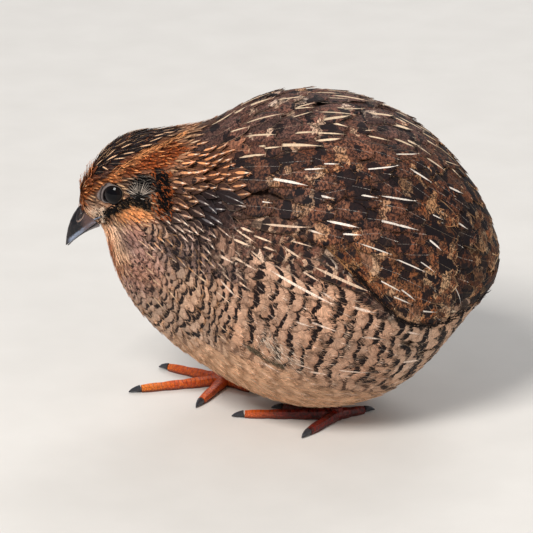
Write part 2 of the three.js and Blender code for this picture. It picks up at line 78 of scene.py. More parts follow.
# the side view, from 20 degrees up, with its level of sight
LOW, HIGH = math.sin(math.radians(20)), math.cos(math.radians(20))
SIGHT = 36


def ease(lo, hi, x):
    t = np.clip((x - lo) / (hi - lo), 0.0, 1.0)
    return t * t * (3 - 2 * t)


def unit(v):
    return v / (np.linalg.norm(v, axis=-1, keepdims=True) + 1e-12)


def ellipsoid(p, at, half, tilt):
    c, s = math.cos(math.radians(tilt)), math.sin(math.radians(tilt))
    dx, dz = p[..., 0] - at[0], p[..., 2] - at[1]
    x, z = dx * c + dz * s, dz * c - dx * s
    a, b, h = half
    k0 = np.sqrt((x / a) ** 2 + (p[..., 1] / b) ** 2 + (z / h) ** 2)
    k1 = np.sqrt((x / a**2) ** 2 + (p[..., 1] / b**2) ** 2 + (z / h**2) ** 2)
    return k0 * (k0 - 1) / (k1 + 1e-9)


def blend(distances, sharpness):
    d = np.stack(distances)
    least = d.min(0)
    return least - np.log(np.exp(sharpness * (least - d)).sum(0)) / sharpness


def surface(p):
    """Distance to the plumage's outer surface, negative inside."""
    groups = [blend([ellipsoid(p, *e) for e in parts], k) for parts, k in FORMS]
    hollow = RUMP_HOLLOW * ease(24, 40, p[..., 0]) * ease(36, 29, p[..., 2])
    return blend(groups, FORMS_MEET) + hollow


CORNERS = np.array([[1, -1, -1], [-1, -1, 1], [-1, 1, -1], [1, 1, 1]], float)


def outward(p):
    return unit(sum(k * surface(p + 0.05 * k)[..., None] for k in CORNERS))


def settle(p, level, rounds=2):
    """Moves points straight in or out to a level above the surface."""
    for _ in range(rounds):
        p = p + outward(p) * (level - surface(p))[..., None]
    return p


def side_view(p):
    """The side view's place of a point: u = x, v = height as seen from 20 degrees up."""
    return np.stack([p[..., 0], HIGH * (p[..., 2] - SIGHT) - LOW * np.abs(p[..., 1])], -1)


def on_middle(q):
    """The point of the plane y = 0 that the side view shows at a place."""
    return np.stack([q[..., 0], 0 * q[..., 0], SIGHT + q[..., 1] / HIGH], -1)


def lie(p):
    """The direction in which feathers lie, flatter over the wing and the back."""
    q = side_view(p)
    above = ease(-5, 8, q[..., 1] - 12 + 0.36 * (q[..., 0] + 10)) * ease(-26, -12, q[..., 0])
    towards = unit((LIE_TO + above[..., None] * np.array([0, 0, 26.0]) - p) * LIE_PINCH)
    droop = np.zeros_like(p)
    droop[..., 2] = -LIE_DROOP * (1 - 0.8 * above)
    return unit(p - LIE_FROM) + towards + droop


def drift(p, wavelength, seed):
    """A slow change from place to place, about -1 to 1."""
    r = np.random.default_rng(seed)
    total = 0
    for _ in range(7):
        k = unit(r.normal(size=3)) * 2 * math.pi / (wavelength * r.uniform(0.7, 1.5))
        total = total + np.sin(p @ k + r.uniform(0, 6.28))
    return total / 2.6


def along(way, normal):
    return unit(way - normal * (way * normal).sum(-1, keepdims=True))


def reach(centre, ways, far, level=0.0):
    """How far rays from a centre run before they first meet a level."""
    steps = 70
    near = np.zeros(len(ways))
    within = np.ones(len(ways), bool)
    for i in range(1, steps):
        t = far * i / steps
        within &= surface(centre + ways * t) < level
        near[within] = t
    end = near + far / steps
    for _ in range(14):
        mid = (near + end) / 2
        short = surface(centre + ways * mid[:, None]) < level
        near, end = np.where(short, mid, near), np.where(short, end, mid)
    return near


def leave(start, way):
    """Where lines from points inside her, all in one direction, come out."""
    ways = np.broadcast_to(np.array(way, float), start.shape)
    return start + ways * reach(start, ways, 60)[:, None]


def seen_at(q, side):
    """The points of the surface that the side view shows at places."""
    return leave(on_middle(q), (0, side * HIGH, LOW))


def srgb(r, g, b):
    c = np.array([r, g, b]) / 255
    return np.where(c <= 0.04045, c / 12.92, ((c + 0.055) / 1.055) ** 2.4)


def rgba(r, g, b):
    return (*srgb(r, g, b), 1)


def add_object(name, data):
    piece = bpy.data.objects.new(name, data)
    bpy.context.scene.collection.objects.link(piece)
    return piece


def make(name, verts, faces, material, stands_for=(), uvs=None, colours=None):
    """A mesh from vertices in millimetres and lists of faces with the same corner count."""
    mesh = bpy.data.meshes.new(name)
    mesh.vertices.add(len(verts))
    mesh.vertices.foreach_set("co", (np.asarray(verts) * MM).astype(np.float32).ravel())
    groups = [np.asarray(f, np.int32) for f in faces if len(f)]
    corners = np.concatenate([f.ravel() for f in groups])
    counts = np.concatenate([np.full(len(f), f.shape[1], np.int32) for f in groups])
    starts = np.concatenate([[0], np.cumsum(counts)[:-1]]).astype(np.int32)
    mesh.loops.add(len(corners))
    mesh.loops.foreach_set("vertex_index", corners)
    mesh.polygons.add(len(counts))
    mesh.polygons.foreach_set("loop_start", starts)
    mesh.polygons.foreach_set("use_smooth", np.full(len(counts), True))
    mesh.update(calc_edges=True)
    for key, value in (uvs or {}).items():
        layer = mesh.uv_layers.new(name=key)
        layer.data.foreach_set("uv", value[corners].astype(np.float32).ravel())
    for key, value in (colours or {}).items():
        data = mesh.attributes.new(key, "FLOAT_COLOR", "POINT").data
        data.foreach_set("color", value.astype(np.float32).ravel())
    mesh.materials.append(material)
    piece = add_object(name, mesh)
    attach(piece, "root")
    if stands_for:
        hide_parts(*stands_for)


def make_tinted(name, spots, tints, material, flip, stands_for=(), tube=False):
    """A grid of points whose columns close into a ring, with a colour at each point."""
    rows, cols = spots.shape[:2]
    r = np.arange(rows if tube else rows - 1)[:, None]
    c, after = np.arange(cols)[None], (np.arange(cols)[None] + 1) % cols
    next_r = (r + 1) % rows
    faces = np.stack([r * cols + c, r * cols + after, next_r * cols + after, next_r * cols + c], -1)
    faces = faces.reshape(-1, 4)
    tints = np.concatenate([np.broadcast_to(tints, spots.shape), np.ones((rows, cols, 1))], 2)
    make(name, spots.reshape(-1, 3), [faces[:, ::-1] if flip else faces], material,
         stands_for, colours={"tint": tints.reshape(-1, 4)})


class Signal:
    """A value in a material. Sums, differences and products of it make nodes."""

    def __init__(self, graph, socket):
        self.graph, self.socket = graph, socket

    def __add__(self, other):
        return self.graph.calc("ADD", self, other)

    def __sub__(self, other):
        return self.graph.calc("SUBTRACT", self, other)

    def __rsub__(self, other):
        return self.graph.calc("SUBTRACT", other, self)

    def __mul__(self, other):
        return self.graph.calc("MULTIPLY", self, other)

    def __abs__(self):
        return self.graph.calc("ABSOLUTE", self)

    __radd__, __rmul__ = __add__, __mul__


class Graph:
    """A material's nodes, written as calls and sums."""

    def __init__(self, name):
        self.mat = bpy.data.materials.new(name)
        self.mat.use_nodes = True
        self.tree = self.mat.node_tree
        self.tree.nodes.clear()

    def put(self, kind, inputs=(), out=0, **settings):
        """Adds a node, and gives one of its outputs or a list of them."""
        node = self.tree.nodes.new(kind)
        for key, value in settings.items():
            setattr(node, key, value)
        for key, value in dict(inputs).items():
            if isinstance(value, Signal):
                self.tree.links.new(value.socket, node.inputs[key])
            else:
                node.inputs[key].default_value = value
        if isinstance(out, tuple):
            return [Signal(self, node.outputs[key]) for key in out]
        return Signal(self, node.outputs[out])

    def calc(self, operation, *values, clamp=False):
        return self.put("ShaderNodeMath", enumerate(values), operation=operation, use_clamp=clamp)

    def mix(self, share, a, b, kind="MIX"):
        inputs = {0: share, 6: a, 7: b}
        return self.put("ShaderNodeMix", inputs, 2, data_type="RGBA", blend_type=kind)

    def times(self, a, b):
        return self.mix(1.0, a, b, "MULTIPLY")

    def grey(self, value):
        return self.put("ShaderNodeCombineColor", {0: value, 1: value, 2: value})

    def ramp(self, x, lo, hi):
        """0 at lo and 1 at hi, smooth between."""
        inputs = {"Value": x, "From Min": lo, "From Max": hi}
        return self.put("ShaderNodeMapRange", inputs, interpolation_type="SMOOTHSTEP", clamp=True)

    def attribute(self, name):
        """A vertex attribute's colour, and its fourth value."""
        return self.put("ShaderNodeAttribute", out=("Color", "Alpha"), attribute_name=name)

    def tint(self):
        return self.attribute("tint")[0]

    def split(self, colour):
        return self.put("ShaderNodeSeparateColor", {"Color": colour}, (0, 1, 2))

    def vector(self, operation, *values):
        return self.put("ShaderNodeVectorMath", enumerate(values), operation=operation)

    def split_place(self, place):
        return self.put("ShaderNodeSeparateXYZ", {"Vector": place}, (0, 1, 2))

    def place(self, x, y, z=0.0):
        return self.put("ShaderNodeCombineXYZ", {"X": x, "Y": y, "Z": z})

    def metres(self):
        """The object's own coordinates."""
        return self.put("ShaderNodeTexCoord", out="Object")

    def millimetres(self):
        inputs = {0: self.metres(), "Scale": 1 / MM}
        return self.put("ShaderNodeVectorMath", inputs, operation="SCALE")

    def noise(self, at, scale, detail=1.0, rough=0.5, out=0):
        inputs = {"Vector": at, "Scale": scale, "Detail": detail, "Roughness": rough}
        return self.put("ShaderNodeTexNoise", inputs, out)

    def finish(self, colour, roughness, height=None, strength=0.3, distance=0.0002, specular=0.5):
        inputs = {"Base Color": colour, "Roughness": roughness, "Specular IOR Level": specular}
        if height is not None:
            bump = {"Height": height, "Strength": strength, "Distance": distance}
            inputs["Normal"] = self.put("ShaderNodeBump", bump)
        skin = self.put("ShaderNodeBsdfPrincipled", inputs)
        out = self.tree.nodes.new("ShaderNodeOutputMaterial")
        self.tree.links.new(skin.socket, out.inputs[0])
        return self.mat


# Where each marking lies, in the side view
def inside(q, outline, soft=1.0):
    """1 inside an outline of the side view, 0 outside, soft along its edge."""
    ring = np.array(outline, float)
    least = np.full(len(q), 1e9)
    odd = np.zeros(len(q), bool)
    for a, b in zip(ring, np.roll(ring, -1, 0)):
        ab, aq = b - a, q - a
        t = np.clip((aq @ ab) / (ab @ ab), 0, 1)
        least = np.minimum(least, np.linalg.norm(aq - t[:, None] * ab, axis=1))
        with np.errstate(divide="ignore", invalid="ignore"):
            cross = a[0] + (q[:, 1] - a[1]) / (b[1] - a[1]) * ab[0]
        odd ^= ((a[1] > q[:, 1]) != (b[1] > q[:, 1])) & (q[:, 0] < cross)
    return ease(-soft, soft, np.where(odd, least, -least))


def oval(q, centre, half, tilt=0.0, soft=0.25):
    c, s = math.cos(math.radians(tilt)), math.sin(math.radians(tilt))
    d = q - np.array(centre)
    x, y = d[:, 0] * c + d[:, 1] * s, d[:, 1] * c - d[:, 0] * s
    return ease(1 + soft, 1 - soft, np.hypot(x / half[0], y / half[1]))


WING_LOW = [(0.6, 10), (8, 7), (15.3, 2.8), (20.1, -1.4), (24, -7), (29, -11.4)]
WING = [
    (-13.5, 19), (-10.2, 13.6), *WING_LOW, (34.7, -13.6), (41, -8.5), (44, 4), (41, 18),
    (34, 25), (20, 28), (4, 26), (-8, 24),
]
RUMP = [
    (33, 32), (42, 22), (44, 4), (41, -8), (47, -8.6), (51, -5.5), (58, 2), (58, 20), (52, 34),
    (40, 40),
]
NECK_SIDE = [
    (-28, 31.5), (-11, 29), (-7, 18), (-9, 8), (-16, 3), (-27, 3.5), (-33, 8), (-29.5, 18), (-27, 25),
]
BREAST = [
    (-52, 8), (-42, 8), (-31, 10), (-16, 1), (-9, -8), (-13, -20), (-24, -21), (-34, -16), (-50, -5),
]
FLANK = [
    (-10, 13.4), *WING_LOW, (35, -14), (40, -22), (24, -33), (4, -34), (-12, -24), (-16, 1),
]
UPPER_FLANK = [
    (-13, 13.4), *WING_LOW, (33, -13), (26, -12.5), (12, -5.5), (-2, 0), (-12, 1),
]
SIDE_NECK = [(-33, 9), (-24, 6), (-14, 2), (-6, -2), (-10, -6), (-20, -2), (-30, 3), (-34, 6)]
THROAT_EDGE = [(-44, 6.2), (-40.6, 6.2), (-40.0, 2), (-38.4, -3), (-45, -3)]
BELLY = [
    (-40, -14), (-24, -18), (-14, -19), (0, -24.5), (12, -29), (22, -31), (18, -42), (-20, -40),
    (-42, -24),
]
VENT = [(27, -9.5), (35, -13.6), (41, -8.4), (62, -8), (60, -28), (36, -42), (22, -30), (24, -20)]
# the coat just under the wing's lower edge, painted dark: a painted shadow of the wing
WING_SHADOW_PAINTED = [
    (26, -10.2), (34.7, -14.4), (41, -9.4), (47, -7), (53, -4.4), (53, -6), (47, -8.8),
    (41, -11.4), (35, -16), (25.5, -12),
]
CROWN_LOW = [(-26, 30.5), (-32, 27.6), (-38, 24.6), (-43.6, 19.4), (-46.5, 18.5)]
CROWN = [(-47.5, 26), (-44, 31), (-38, 36), (-28, 38), (-20, 36), *CROWN_LOW]
BROW = [
    (-51, 20), *CROWN_LOW[::-1], (-22, 28), (-27, 23), (-32, 22.3), (-36.6, 21),
    (-39, 20), (-42, 19.3), (-45, 18), (-47, 14), (-50, 14),
]
BEHIND_EAR = [(-30.6, 23.5), (-27, 23), (-25.4, 15), (-26.8, 10.8), (-29.8, 11.6), (-30.2, 18)]
MALAR = [
    (-43.5, 11.4), (-39.5, 14.6), (-36.2, 16.2), (-31.6, 15), (-29.3, 11.8), (-31, 12.6),
    (-35.4, 14), (-39, 12.2), (-42.4, 10.6),
]
CHEEK = [(-39.5, 12.4), (-35.4, 14.4), (-31.2, 13.6), (-29.8, 11.4), (-34, 10.4), (-39, 10.8)]
CHIN = [(-46, 10), (-39, 9.6), (-34, 8.8), (-29.4, 5), (-31, 1), (-40, 1), (-46, 6)]
FOREHEAD = [(-51, 15.5), (-46.6, 14.6), (-44.6, 18.6), (-44.4, 23), (-46, 28), (-51, 24)]
LORE = [(-47.6, 13.4), (-43.6, 14.6), (-42.4, 12.4), (-44, 9.8), (-47, 11.2)]


def within(outline, soft=1.0, **look):
    """A region inside an outline, and what its feathers are like."""
    return (lambda q: inside(q, outline, soft)), look


def about(centre, half, tilt=0.0, soft=0.25, **look):
    """A region inside an oval, and what its feathers are like."""
    return (lambda q: oval(q, centre, half, tilt, soft)), look


# What a feather of each region is like: gap between feathers, length and width as shares of
# it, lift of the tip, pointedness, raggedness; colours; amounts of the marks, and of the painted
# shade on the roots (deep).
BASE = dict(
    gap=4.0, long=3.1, wide=1.75, lift=0.05, sink=0.8, point=0.15, rag=0.2, yaw=0.12,
    ground=(104, 71, 60), mark=(22, 15, 18), shaft=(216, 190, 160), fringe=(206, 172, 146),
    bars=0.0, period=3.2, bar=0.3, loose=0.2, verm=0.35, blotch=0.35, shaft_w=0.25, shaft_s=0.45,
    fringe_w=0.2, fringe_s=0.3, hair=0.5, base=0.1, vary=0.35, barbs=20.0, barb_long=1.0,
    deep=0.2, mottle=0.8, buff=0.13, block=0.24, streak_at=0.3,
)
ZONES = [
    within(WING, gap=3.9, wide=1.6, ground=(106, 69, 52), verm=0.5, blotch=0.4,
           fringe=(186, 142, 108), shaft_w=0.17, shaft=(226, 214, 202), shaft_s=0.1,
           fringe_s=0.15, barbs=30.0, barb_long=0.9, vary=0.3, mottle=0.9, buff=0.1,
           block=0.27, deep=0.1),
    about((26, -3.5), (15, 5), -36, 0.4, ground=(142, 94, 62), block=0.2, buff=0.26,
          fringe=(204, 160, 122)),
    about((37, 15), (9, 17), 0, 0.4, ground=(98, 62, 44), block=0.38, buff=0.18,
          fringe=(196, 154, 116)),
    within(RUMP, gap=3.8, long=3.0, wide=1.6, ground=(88, 54, 34), verm=0.4, blotch=0.8,
           shaft_w=0.22, shaft_s=0.3, shaft=(196, 164, 126), fringe=(170, 132, 98),
           fringe_s=0.6, fringe_w=0.26, vary=0.4, mottle=0.7, buff=0.14, block=0.42),
    within(NECK_SIDE, gap=2.0, long=3.1, wide=1.35, lift=0.6, sink=0.9, point=0.85, rag=0.1,
           ground=(172, 114, 84), mark=(34, 22, 22), verm=0.0, blotch=0.8, shaft_w=0.25,
           shaft=(248, 218, 190), shaft_s=0.9, fringe=(206, 146, 104), fringe_s=0.5,
           fringe_w=0.34, hair=0.8, base=0.8, vary=0.35, streak_at=0.5, barbs=8.0,
           barb_long=0.8, mottle=0.3, buff=0.0, block=0.05),
    about((-21.5, 7.5), (9.5, 4.4), -25, 0.4, ground=(114, 88, 79), mark=(24, 18, 20),
          fringe=(150, 124, 108), blotch=1.1, shaft=(244, 222, 200), gap=2.0),
    about((-14.3, 13.0), (5.5, 5.2), gap=2.3, ground=(46, 41, 43), blotch=0.6, shaft_w=0.2,
          shaft=(214, 204, 196), fringe=(98, 89, 87), fringe_s=0.4, lift=0.3, base=0.8,
          barbs=12.0, block=0.3),
    within(BEHIND_EAR, 0.5, gap=1.3, ground=(22, 17, 18), fringe=(150, 94, 56), shaft_s=0.15,
           blotch=0.0, fringe_s=0.5, base=0.0, lift=0.15, mottle=0.0, block=0.0),
    within(BREAST, gap=2.7, long=3.1, wide=1.8, lift=0.04, sink=0.5, point=0.15, rag=0.35,
           ground=(182, 150, 128), mark=(28, 19, 19), fringe=(184, 134, 94), fringe_w=0.5,
           fringe_s=0.25, bars=1.0, period=2.7, bar=0.37, loose=0.07, verm=0.0, blotch=0.1,
           shaft_s=0.2, shaft=(196, 164, 132), shaft_w=0.15, hair=0.9, base=0.1, vary=0.16,
           barbs=30.0, barb_long=1.2, deep=0.1, mottle=0.12, buff=0.0, block=0.0),
    about((-35.5, 0.5), (8, 6.5), -35, 0.5, gap=1.6, long=3.2, wide=1.5, point=0.5,
          ground=(172, 128, 112), mark=(44, 28, 28), fringe=(206, 162, 134), bars=0.7,
          period=2.2, bar=0.26, loose=0.3, blotch=0.7),
    within(FLANK, 2.0, gap=3.5, long=3.1, wide=1.9, lift=0.03, sink=0.55, point=0.05, rag=0.4,
           ground=(184, 145, 120), mark=(26, 15, 14), fringe=(206, 176, 152), fringe_w=0.6,
           fringe_s=0.2, bars=1.0, period=3.3, bar=0.34, loose=0.06, verm=0.0, blotch=0.1,
           shaft_s=0.15, shaft=(224, 200, 182), shaft_w=0.25, hair=1.0, base=0.0, vary=0.1,
           barbs=70.0, barb_long=1.9, deep=0.0, mottle=0.06, buff=0.0, block=0.0),
    within(UPPER_FLANK, 1.5, gap=3.0, ground=(104, 71, 58), mark=(32, 22, 22), verm=0.2,
           bar=0.4, blotch=0.5, loose=0.35, shaft_s=0.3, shaft=(214, 184, 158), shaft_w=0.2,
           vary=0.25, barbs=40.0, barb_long=1.2, mottle=0.5, buff=0.26, block=0.12),
    about((-8.5, 8.5), (6.5, 4.5), -20, 0.5, ground=(98, 68, 57), mottle=0.8, bars=0.2,
          block=0.22, buff=0.1, gap=2.8),
    within(SIDE_NECK, 1.5, gap=1.9, ground=(116, 90, 80), mark=(26, 19, 21), point=0.5,
           blotch=0.6, bar=0.4, loose=0.5, shaft_s=0.55, shaft=(216, 186, 160), shaft_w=0.26,
           vary=0.3, streak_at=0.55, barbs=20.0, mottle=0.3, block=0.12),
    within(BELLY, 3.0, gap=3.3, long=3.2, wide=1.9, lift=0.02, point=0.1, rag=0.45,
           ground=(214, 170, 136), mark=(120, 84, 62), fringe=(212, 174, 140), bars=0.03,
           verm=0.0, blotch=0.0, shaft_s=0.0, hair=0.6, fringe_s=0.2, base=0.0, vary=0.05,
           barbs=120.0, barb_long=2.4, sink=0.5, deep=0.0, mottle=0.0, buff=0.0, block=0.0),
    # painted shadow under the wing's lower edge
    within(WING_SHADOW_PAINTED, 0.5, ground=(44, 30, 26), bars=0.3, buff=0.0),
    within(VENT, 1.5, gap=3.3, long=3.3, wide=1.8, ground=(186, 152, 128), mark=(24, 16, 16),
           bars=1.0, period=2.7, bar=0.48, loose=0.015, verm=0.0, blotch=0.0, shaft_s=0.05,
           fringe_s=0.2, hair=0.9, fringe=(206, 178, 150), base=0.0, vary=0.12, barbs=44.0,
           barb_long=1.2, sink=0.6, deep=0.0, mottle=0.06, buff=0.0, block=0.0),
]
HEAD_BASE = dict(
    gap=1.15, long=3.3, wide=1.1, lift=0.12, sink=0.5, point=0.8, rag=0.1, yaw=0.16,
    ground=(146, 104, 78), mark=(34, 25, 25), shaft=(200, 162, 122), fringe=(164, 128, 102),
    bars=0.0, period=2.0, bar=0.2, loose=0.3, verm=0.0, blotch=0.4, shaft_w=0.09, shaft_s=0.5,
    fringe_w=0.08, fringe_s=0.5, hair=0.9, base=0.3, vary=0.35, barbs=5.0, barb_long=1.1,
    deep=0.3, mottle=0.0, buff=0.0, block=0.0, streak_at=0.3,
)
HEAD_ZONES = [
    within(CROWN, 0.7, gap=1.4, long=3.6, wide=1.3, ground=(19, 14, 17), fringe=(128, 76, 50),
           fringe_w=0.16, shaft=(212, 170, 134), shaft_w=0.13, shaft_s=0.25, blotch=0.0,
           fringe_s=0.7, base=0.0),
    within(BROW, 0.7, gap=0.85, ground=(164, 76, 29), fringe=(204, 113, 56), blotch=0.45,
           vary=0.2, mark=(60, 28, 16), shaft_s=0.25, shaft=(222, 150, 94), point=0.7, base=0.7),
    about((-34.2, 25.4), (8.0, 0.7), 34, 0.5, ground=(212, 130, 76), fringe=(240, 180, 130),
          mark=(60, 32, 20), blotch=0.3),
    about((-33.2, 18.9), (3.4, 2.9), 20, gap=0.8, long=3.4, wide=0.9, ground=(10, 8, 10),
          shaft=(206, 192, 176), shaft_s=0.1, shaft_w=0.06, blotch=0.0, fringe_s=0.0,
          lift=0.1, base=0.0),
    about((-33.6, 16.9), (3.0, 1.3), 15, ground=(26, 22, 22), shaft=(206, 196, 186)),
    within(BEHIND_EAR, 0.5, gap=1.1, ground=(16, 12, 14), fringe=(170, 96, 52), shaft_s=0.1,
           blotch=0.0, fringe_s=0.45, base=0.0),
    within(CHIN, 0.8, gap=0.9, long=3.0, ground=(242, 200, 168), fringe=(244, 214, 186),
           blotch=0.0, shaft_s=0.1, lift=0.06, sink=0.5, base=0.1),
    within(THROAT_EDGE, 0.8, ground=(150, 88, 56), fringe=(190, 134, 96)),
    about((-34, 6), (4.5, 4), -30, 0.5, gap=1.3, ground=(158, 116, 102),
          fringe=(190, 150, 134), mark=(84, 54, 46), blotch=0.5),
    within(CHEEK, 0.5, gap=0.9, ground=(246, 164, 104), fringe=(250, 204, 156), blotch=0.15,
           shaft_s=0.1, base=0.2),
    within(MALAR, 0.4, gap=0.75, long=2.6, ground=(26, 20, 20), fringe=(190, 146, 98),
           fringe_s=0.6, blotch=0.0, shaft_s=0.0, base=0.0),
    within(FOREHEAD, lift=0.55, gap=0.9, ground=(172, 88, 38), fringe=(222, 140, 84), base=0.7),
    within(LORE, 0.5, gap=0.65, long=2.8, wide=0.8, ground=(226, 182, 150),
           fringe=(255, 226, 200), blotch=0.25, mark=(30, 20, 20), hair=0.7, deep=0.1,
           vary=0.2, shaft_s=0.0, lift=0.1, sink=0.4, base=0.2),
    about((-41.5, 19.8), (3.6, 0.9), 28, gap=0.8, ground=(176, 100, 50),
          fringe=(206, 144, 92), blotch=0.1),
]
COLOURS = ("ground", "mark", "shaft", "fringe")


def as_numbers(key, value):
    """A table's value, a colour in linear light."""
    return srgb(*value) if key in COLOURS else np.asarray(value, float)


def looks(p):
    """The values of every region's table, blended at each point."""
    q = side_view(p)
    tables = [(base, zones, [mask(q) for mask, _ in zones])
              for base, zones in ((BASE, ZONES), (HEAD_BASE, HEAD_ZONES))]
    # the head's tables take over in front of a slanting line across the neck
    on_head = ease(-1.2, 1.2, 0.55 * (q[:, 1] - 17) - 1.0 * (q[:, 0] + 27.2))
    value = {}
    for key in BASE:
        columns = (slice(None), None) if key in COLOURS else slice(None)
        parts = []
        for base, zones, shares in tables:
            start = as_numbers(key, base[key])
            part = np.broadcast_to(start, q.shape[:1] + start.shape).copy()
            for (_, look), share in zip(zones, shares):
                if key in look:
                    part += (as_numbers(key, look[key]) - part) * share[columns]
            parts.append(part)
        body, head = parts
        value[key] = body + (head - body) * on_head[columns]
    return value


# Where the eyes and their lids lie
def eye_axes(side):
    """Where an eye looks, the middle of its ball, and its front and upward directions."""
    look = unit(EYE_LOOK * np.array([1, side, 1]))
    centre = EYE_AT + look * (reach(EYE_AT, look[None], 30.0)[0] - EYE_SUNK)
    front = along(EYE_FRONT, look)
    return look, centre, front, np.cross(look, front) * side


def round_the_eye(p, side):
    """Each point's angle round the eye, 0 at the front and rising upwards, and its distance."""
    _, centre, front, up = eye_axes(side)
    a, b = (p - centre) @ front, (p - centre) @ up
    return np.arctan2(b, a), np.hypot(a, b)


def hump(angle, at, wide):
    d = (angle - math.radians(at) + math.pi) % (2 * math.pi) - math.pi
    return np.exp(-((d / math.radians(wide)) ** 2))


def lid_inner(angle):
    """The opening between the lids: an almond, longer towards the bill."""
    long, high = 2.6, 2.0
    t = angle - math.radians(8)
    almond = long * high / np.hypot(high * np.cos(t), long * np.sin(t))
    return almond + 0.5 * hump(angle, -12, 20)


def lid_width(angle):
    """Bare skin round the opening, widest in front and above."""
    return 0.17 + 1.9 * hump(angle, 13, 22) + 1.3 * hump(angle, 58, 32) + 0.3 * hump(angle, 100, 25)


def unwrap(p):
    """A flat place for each point of the skin, from the bill to the tail and round her."""
    middle = 40 + 17 * ease(-14, -30, p[:, 0])
    out = np.hypot(p[:, 1], p[:, 2] - middle)
    polar = np.arctan2(out, 10 - p[:, 0]) / math.pi
    s = 0.5 * (p[:, 0] + 56) / 112 + 0.5 * polar
    round_her = np.arctan2(p[:, 1], p[:, 2] - middle) / (2 * math.pi) + 0.5
    return 0.01 + 0.98 * np.stack([s, round_her], 1)


# Feathers
NEEDLE = np.array([[0, 1, 2], [0, 3, 1], [1, 3, 2], [2, 3, 0]])
NEEDLE_UV = np.array([[-1, -1], [1, -1], [-1, 1], [1, 1]])
BARB_UV, HAIR_UV = 0.0001, 0.0008
JITTER = 0.03
BOW = 0.06
BACK_STEPS = 4
LENGTHS, WIDTHS = (0.9, 1.12), (0.88, 1.1)
# barbs: shares at the two sides and at the tip, how far they fan out, stray and rise
BARBS_AT_SIDES, BARBS_AT_TIP = 0.25, 0.4
BARB_FAN, BARB_STRAY, BARB_RISE = 0.55, 0.14, 0.16
BARB_LENGTHS, BARB_GIRTHS = (0.5, 1.1), (0.6, 1.2)
# clouds of lighter and of warmer feathers, and waves of the bars
TONE_WAVE, WARM_WAVE, BAR_WAVE, BAR_RIPPLE = 9.0, 13.0, 9.0, 4.0
WARMER = np.array([0.3, 0.0, -0.3])


def needle_faces(count, first=0):
    return (NEEDLE[None] + first + 4 * np.arange(count)[:, None, None]).reshape(-1, 3)


def vane_shape(v, point):
    """The width of a feather along it, as a share of its greatest."""
    peak = 0.62 - 0.2 * point
    root = 0.3 + 0.7 * ease(0, 1, v / peak)
    t = np.clip((v - peak) / (1.02 - peak), 0, 1)
    tip = (1 - t ** (2.2 - 1.0 * point)) ** (0.5 + 0.5 * point)
    return np.where(v < peak, root, tip)


def course(at, look, long, v, aim, share):
    """Each feather's middle line from root to tip, with its normals, sides and directions."""
    yaw = rng.normal(0, 1, len(at)) * look["yaw"]

    def way(p, normal):
        f = along(lie(p) if aim is None else unit(aim - p) + 0.15 * unit(lie(p)), normal)
        return f * np.cos(yaw)[:, None] + np.cross(normal, f) * np.sin(yaw)[:, None]

    p = at
    for _ in range(BACK_STEPS if share else 0):
        p = settle(p - way(p, outward(p)) * (long * share / BACK_STEPS)[:, None], 0, 1)
    last = len(v) - 1
    stations = []
    for i in range(last + 1):
        n = outward(p)
        f = way(p, n) if aim is None or i < last - 1 else f
        stations.append((p, n, np.cross(n, f), f))
        if i < last:
            p = settle(p + f * (long * (v[i + 1] - v[i]))[:, None], 0, 1)
    return (np.stack(x, 1) for x in zip(*stations))


def vanes(look, wide, u, v, line, normals, sides, raise_by):
    """Each vane's upper surface, the spine below it, and how far out its points lie."""
    count = len(line)
    shape = vane_shape(v[None, :], look["point"][:, None])
    reach_out = u[None, None, :] * shape[:, :, None]
    at_rim = (np.abs(u) > 0.99) * ease(0.25, 0.8, v)[None, :, None]
    ragged = 1 - look["rag"][:, None, None] * rng.uniform(0, 1, reach_out.shape) * at_rim
    half = (wide / 2)[:, None, None]
    across = reach_out * ragged * half
    spot = line[:, :, None] + sides[:, :, None] * across[..., None]
    tilt = rng.normal(0, JITTER, count)[:, None, None] * u
    bow = BOW * half * (1 - u**2) + tilt * v[None, :, None] * half
    lift = look["lift"] * rng.uniform(0.2, 1.8, count)
    level = -look["sink"][:, None] * (1 - v[None, :]) + lift[:, None] * v[None, :] ** 3
    level = level + np.broadcast_to(raise_by, count)[:, None]
    level = level[:, :, None] + bow
    level = level + rng.normal(0, JITTER, count)[:, None, None]
    top = spot + normals[:, :, None] * (level - surface(spot))[..., None]
    thick = 0.02 + 0.02 * look["gap"][:, None] + 0.2 * (1 - v)
    spine = line + normals * (level[:, :, len(u) // 2] - thick)[..., None]
    return top, spine, across


def vane_faces(count, cols, rows):
    """Upper surface, two slopes down to the spine, and the closed ends of each vane."""
    grid = np.arange((rows + 1) * (cols + 1)).reshape(rows + 1, cols + 1)
    low = grid.size + np.arange(rows + 1)
    left, right = grid[:, 0], grid[:, -1]
    top = np.stack([grid[:-1, :-1], grid[1:, :-1], grid[1:, 1:], grid[:-1, 1:]], -1)
    quads = np.concatenate([
        top.reshape(-1, 4),
        np.stack([left[:-1], low[:-1], low[1:], left[1:]], -1),
        np.stack([low[:-1], right[:-1], right[1:], low[1:]], -1),
    ])
    ends = np.stack([np.append(grid[0], low[0]), np.append(grid[-1][::-1], low[-1])])
    shift = (np.arange(count) * (grid.size + len(low)))[:, None, None]
    return [(part[None] + shift).reshape(-1, part.shape[1]) for part in (quads, ends)]


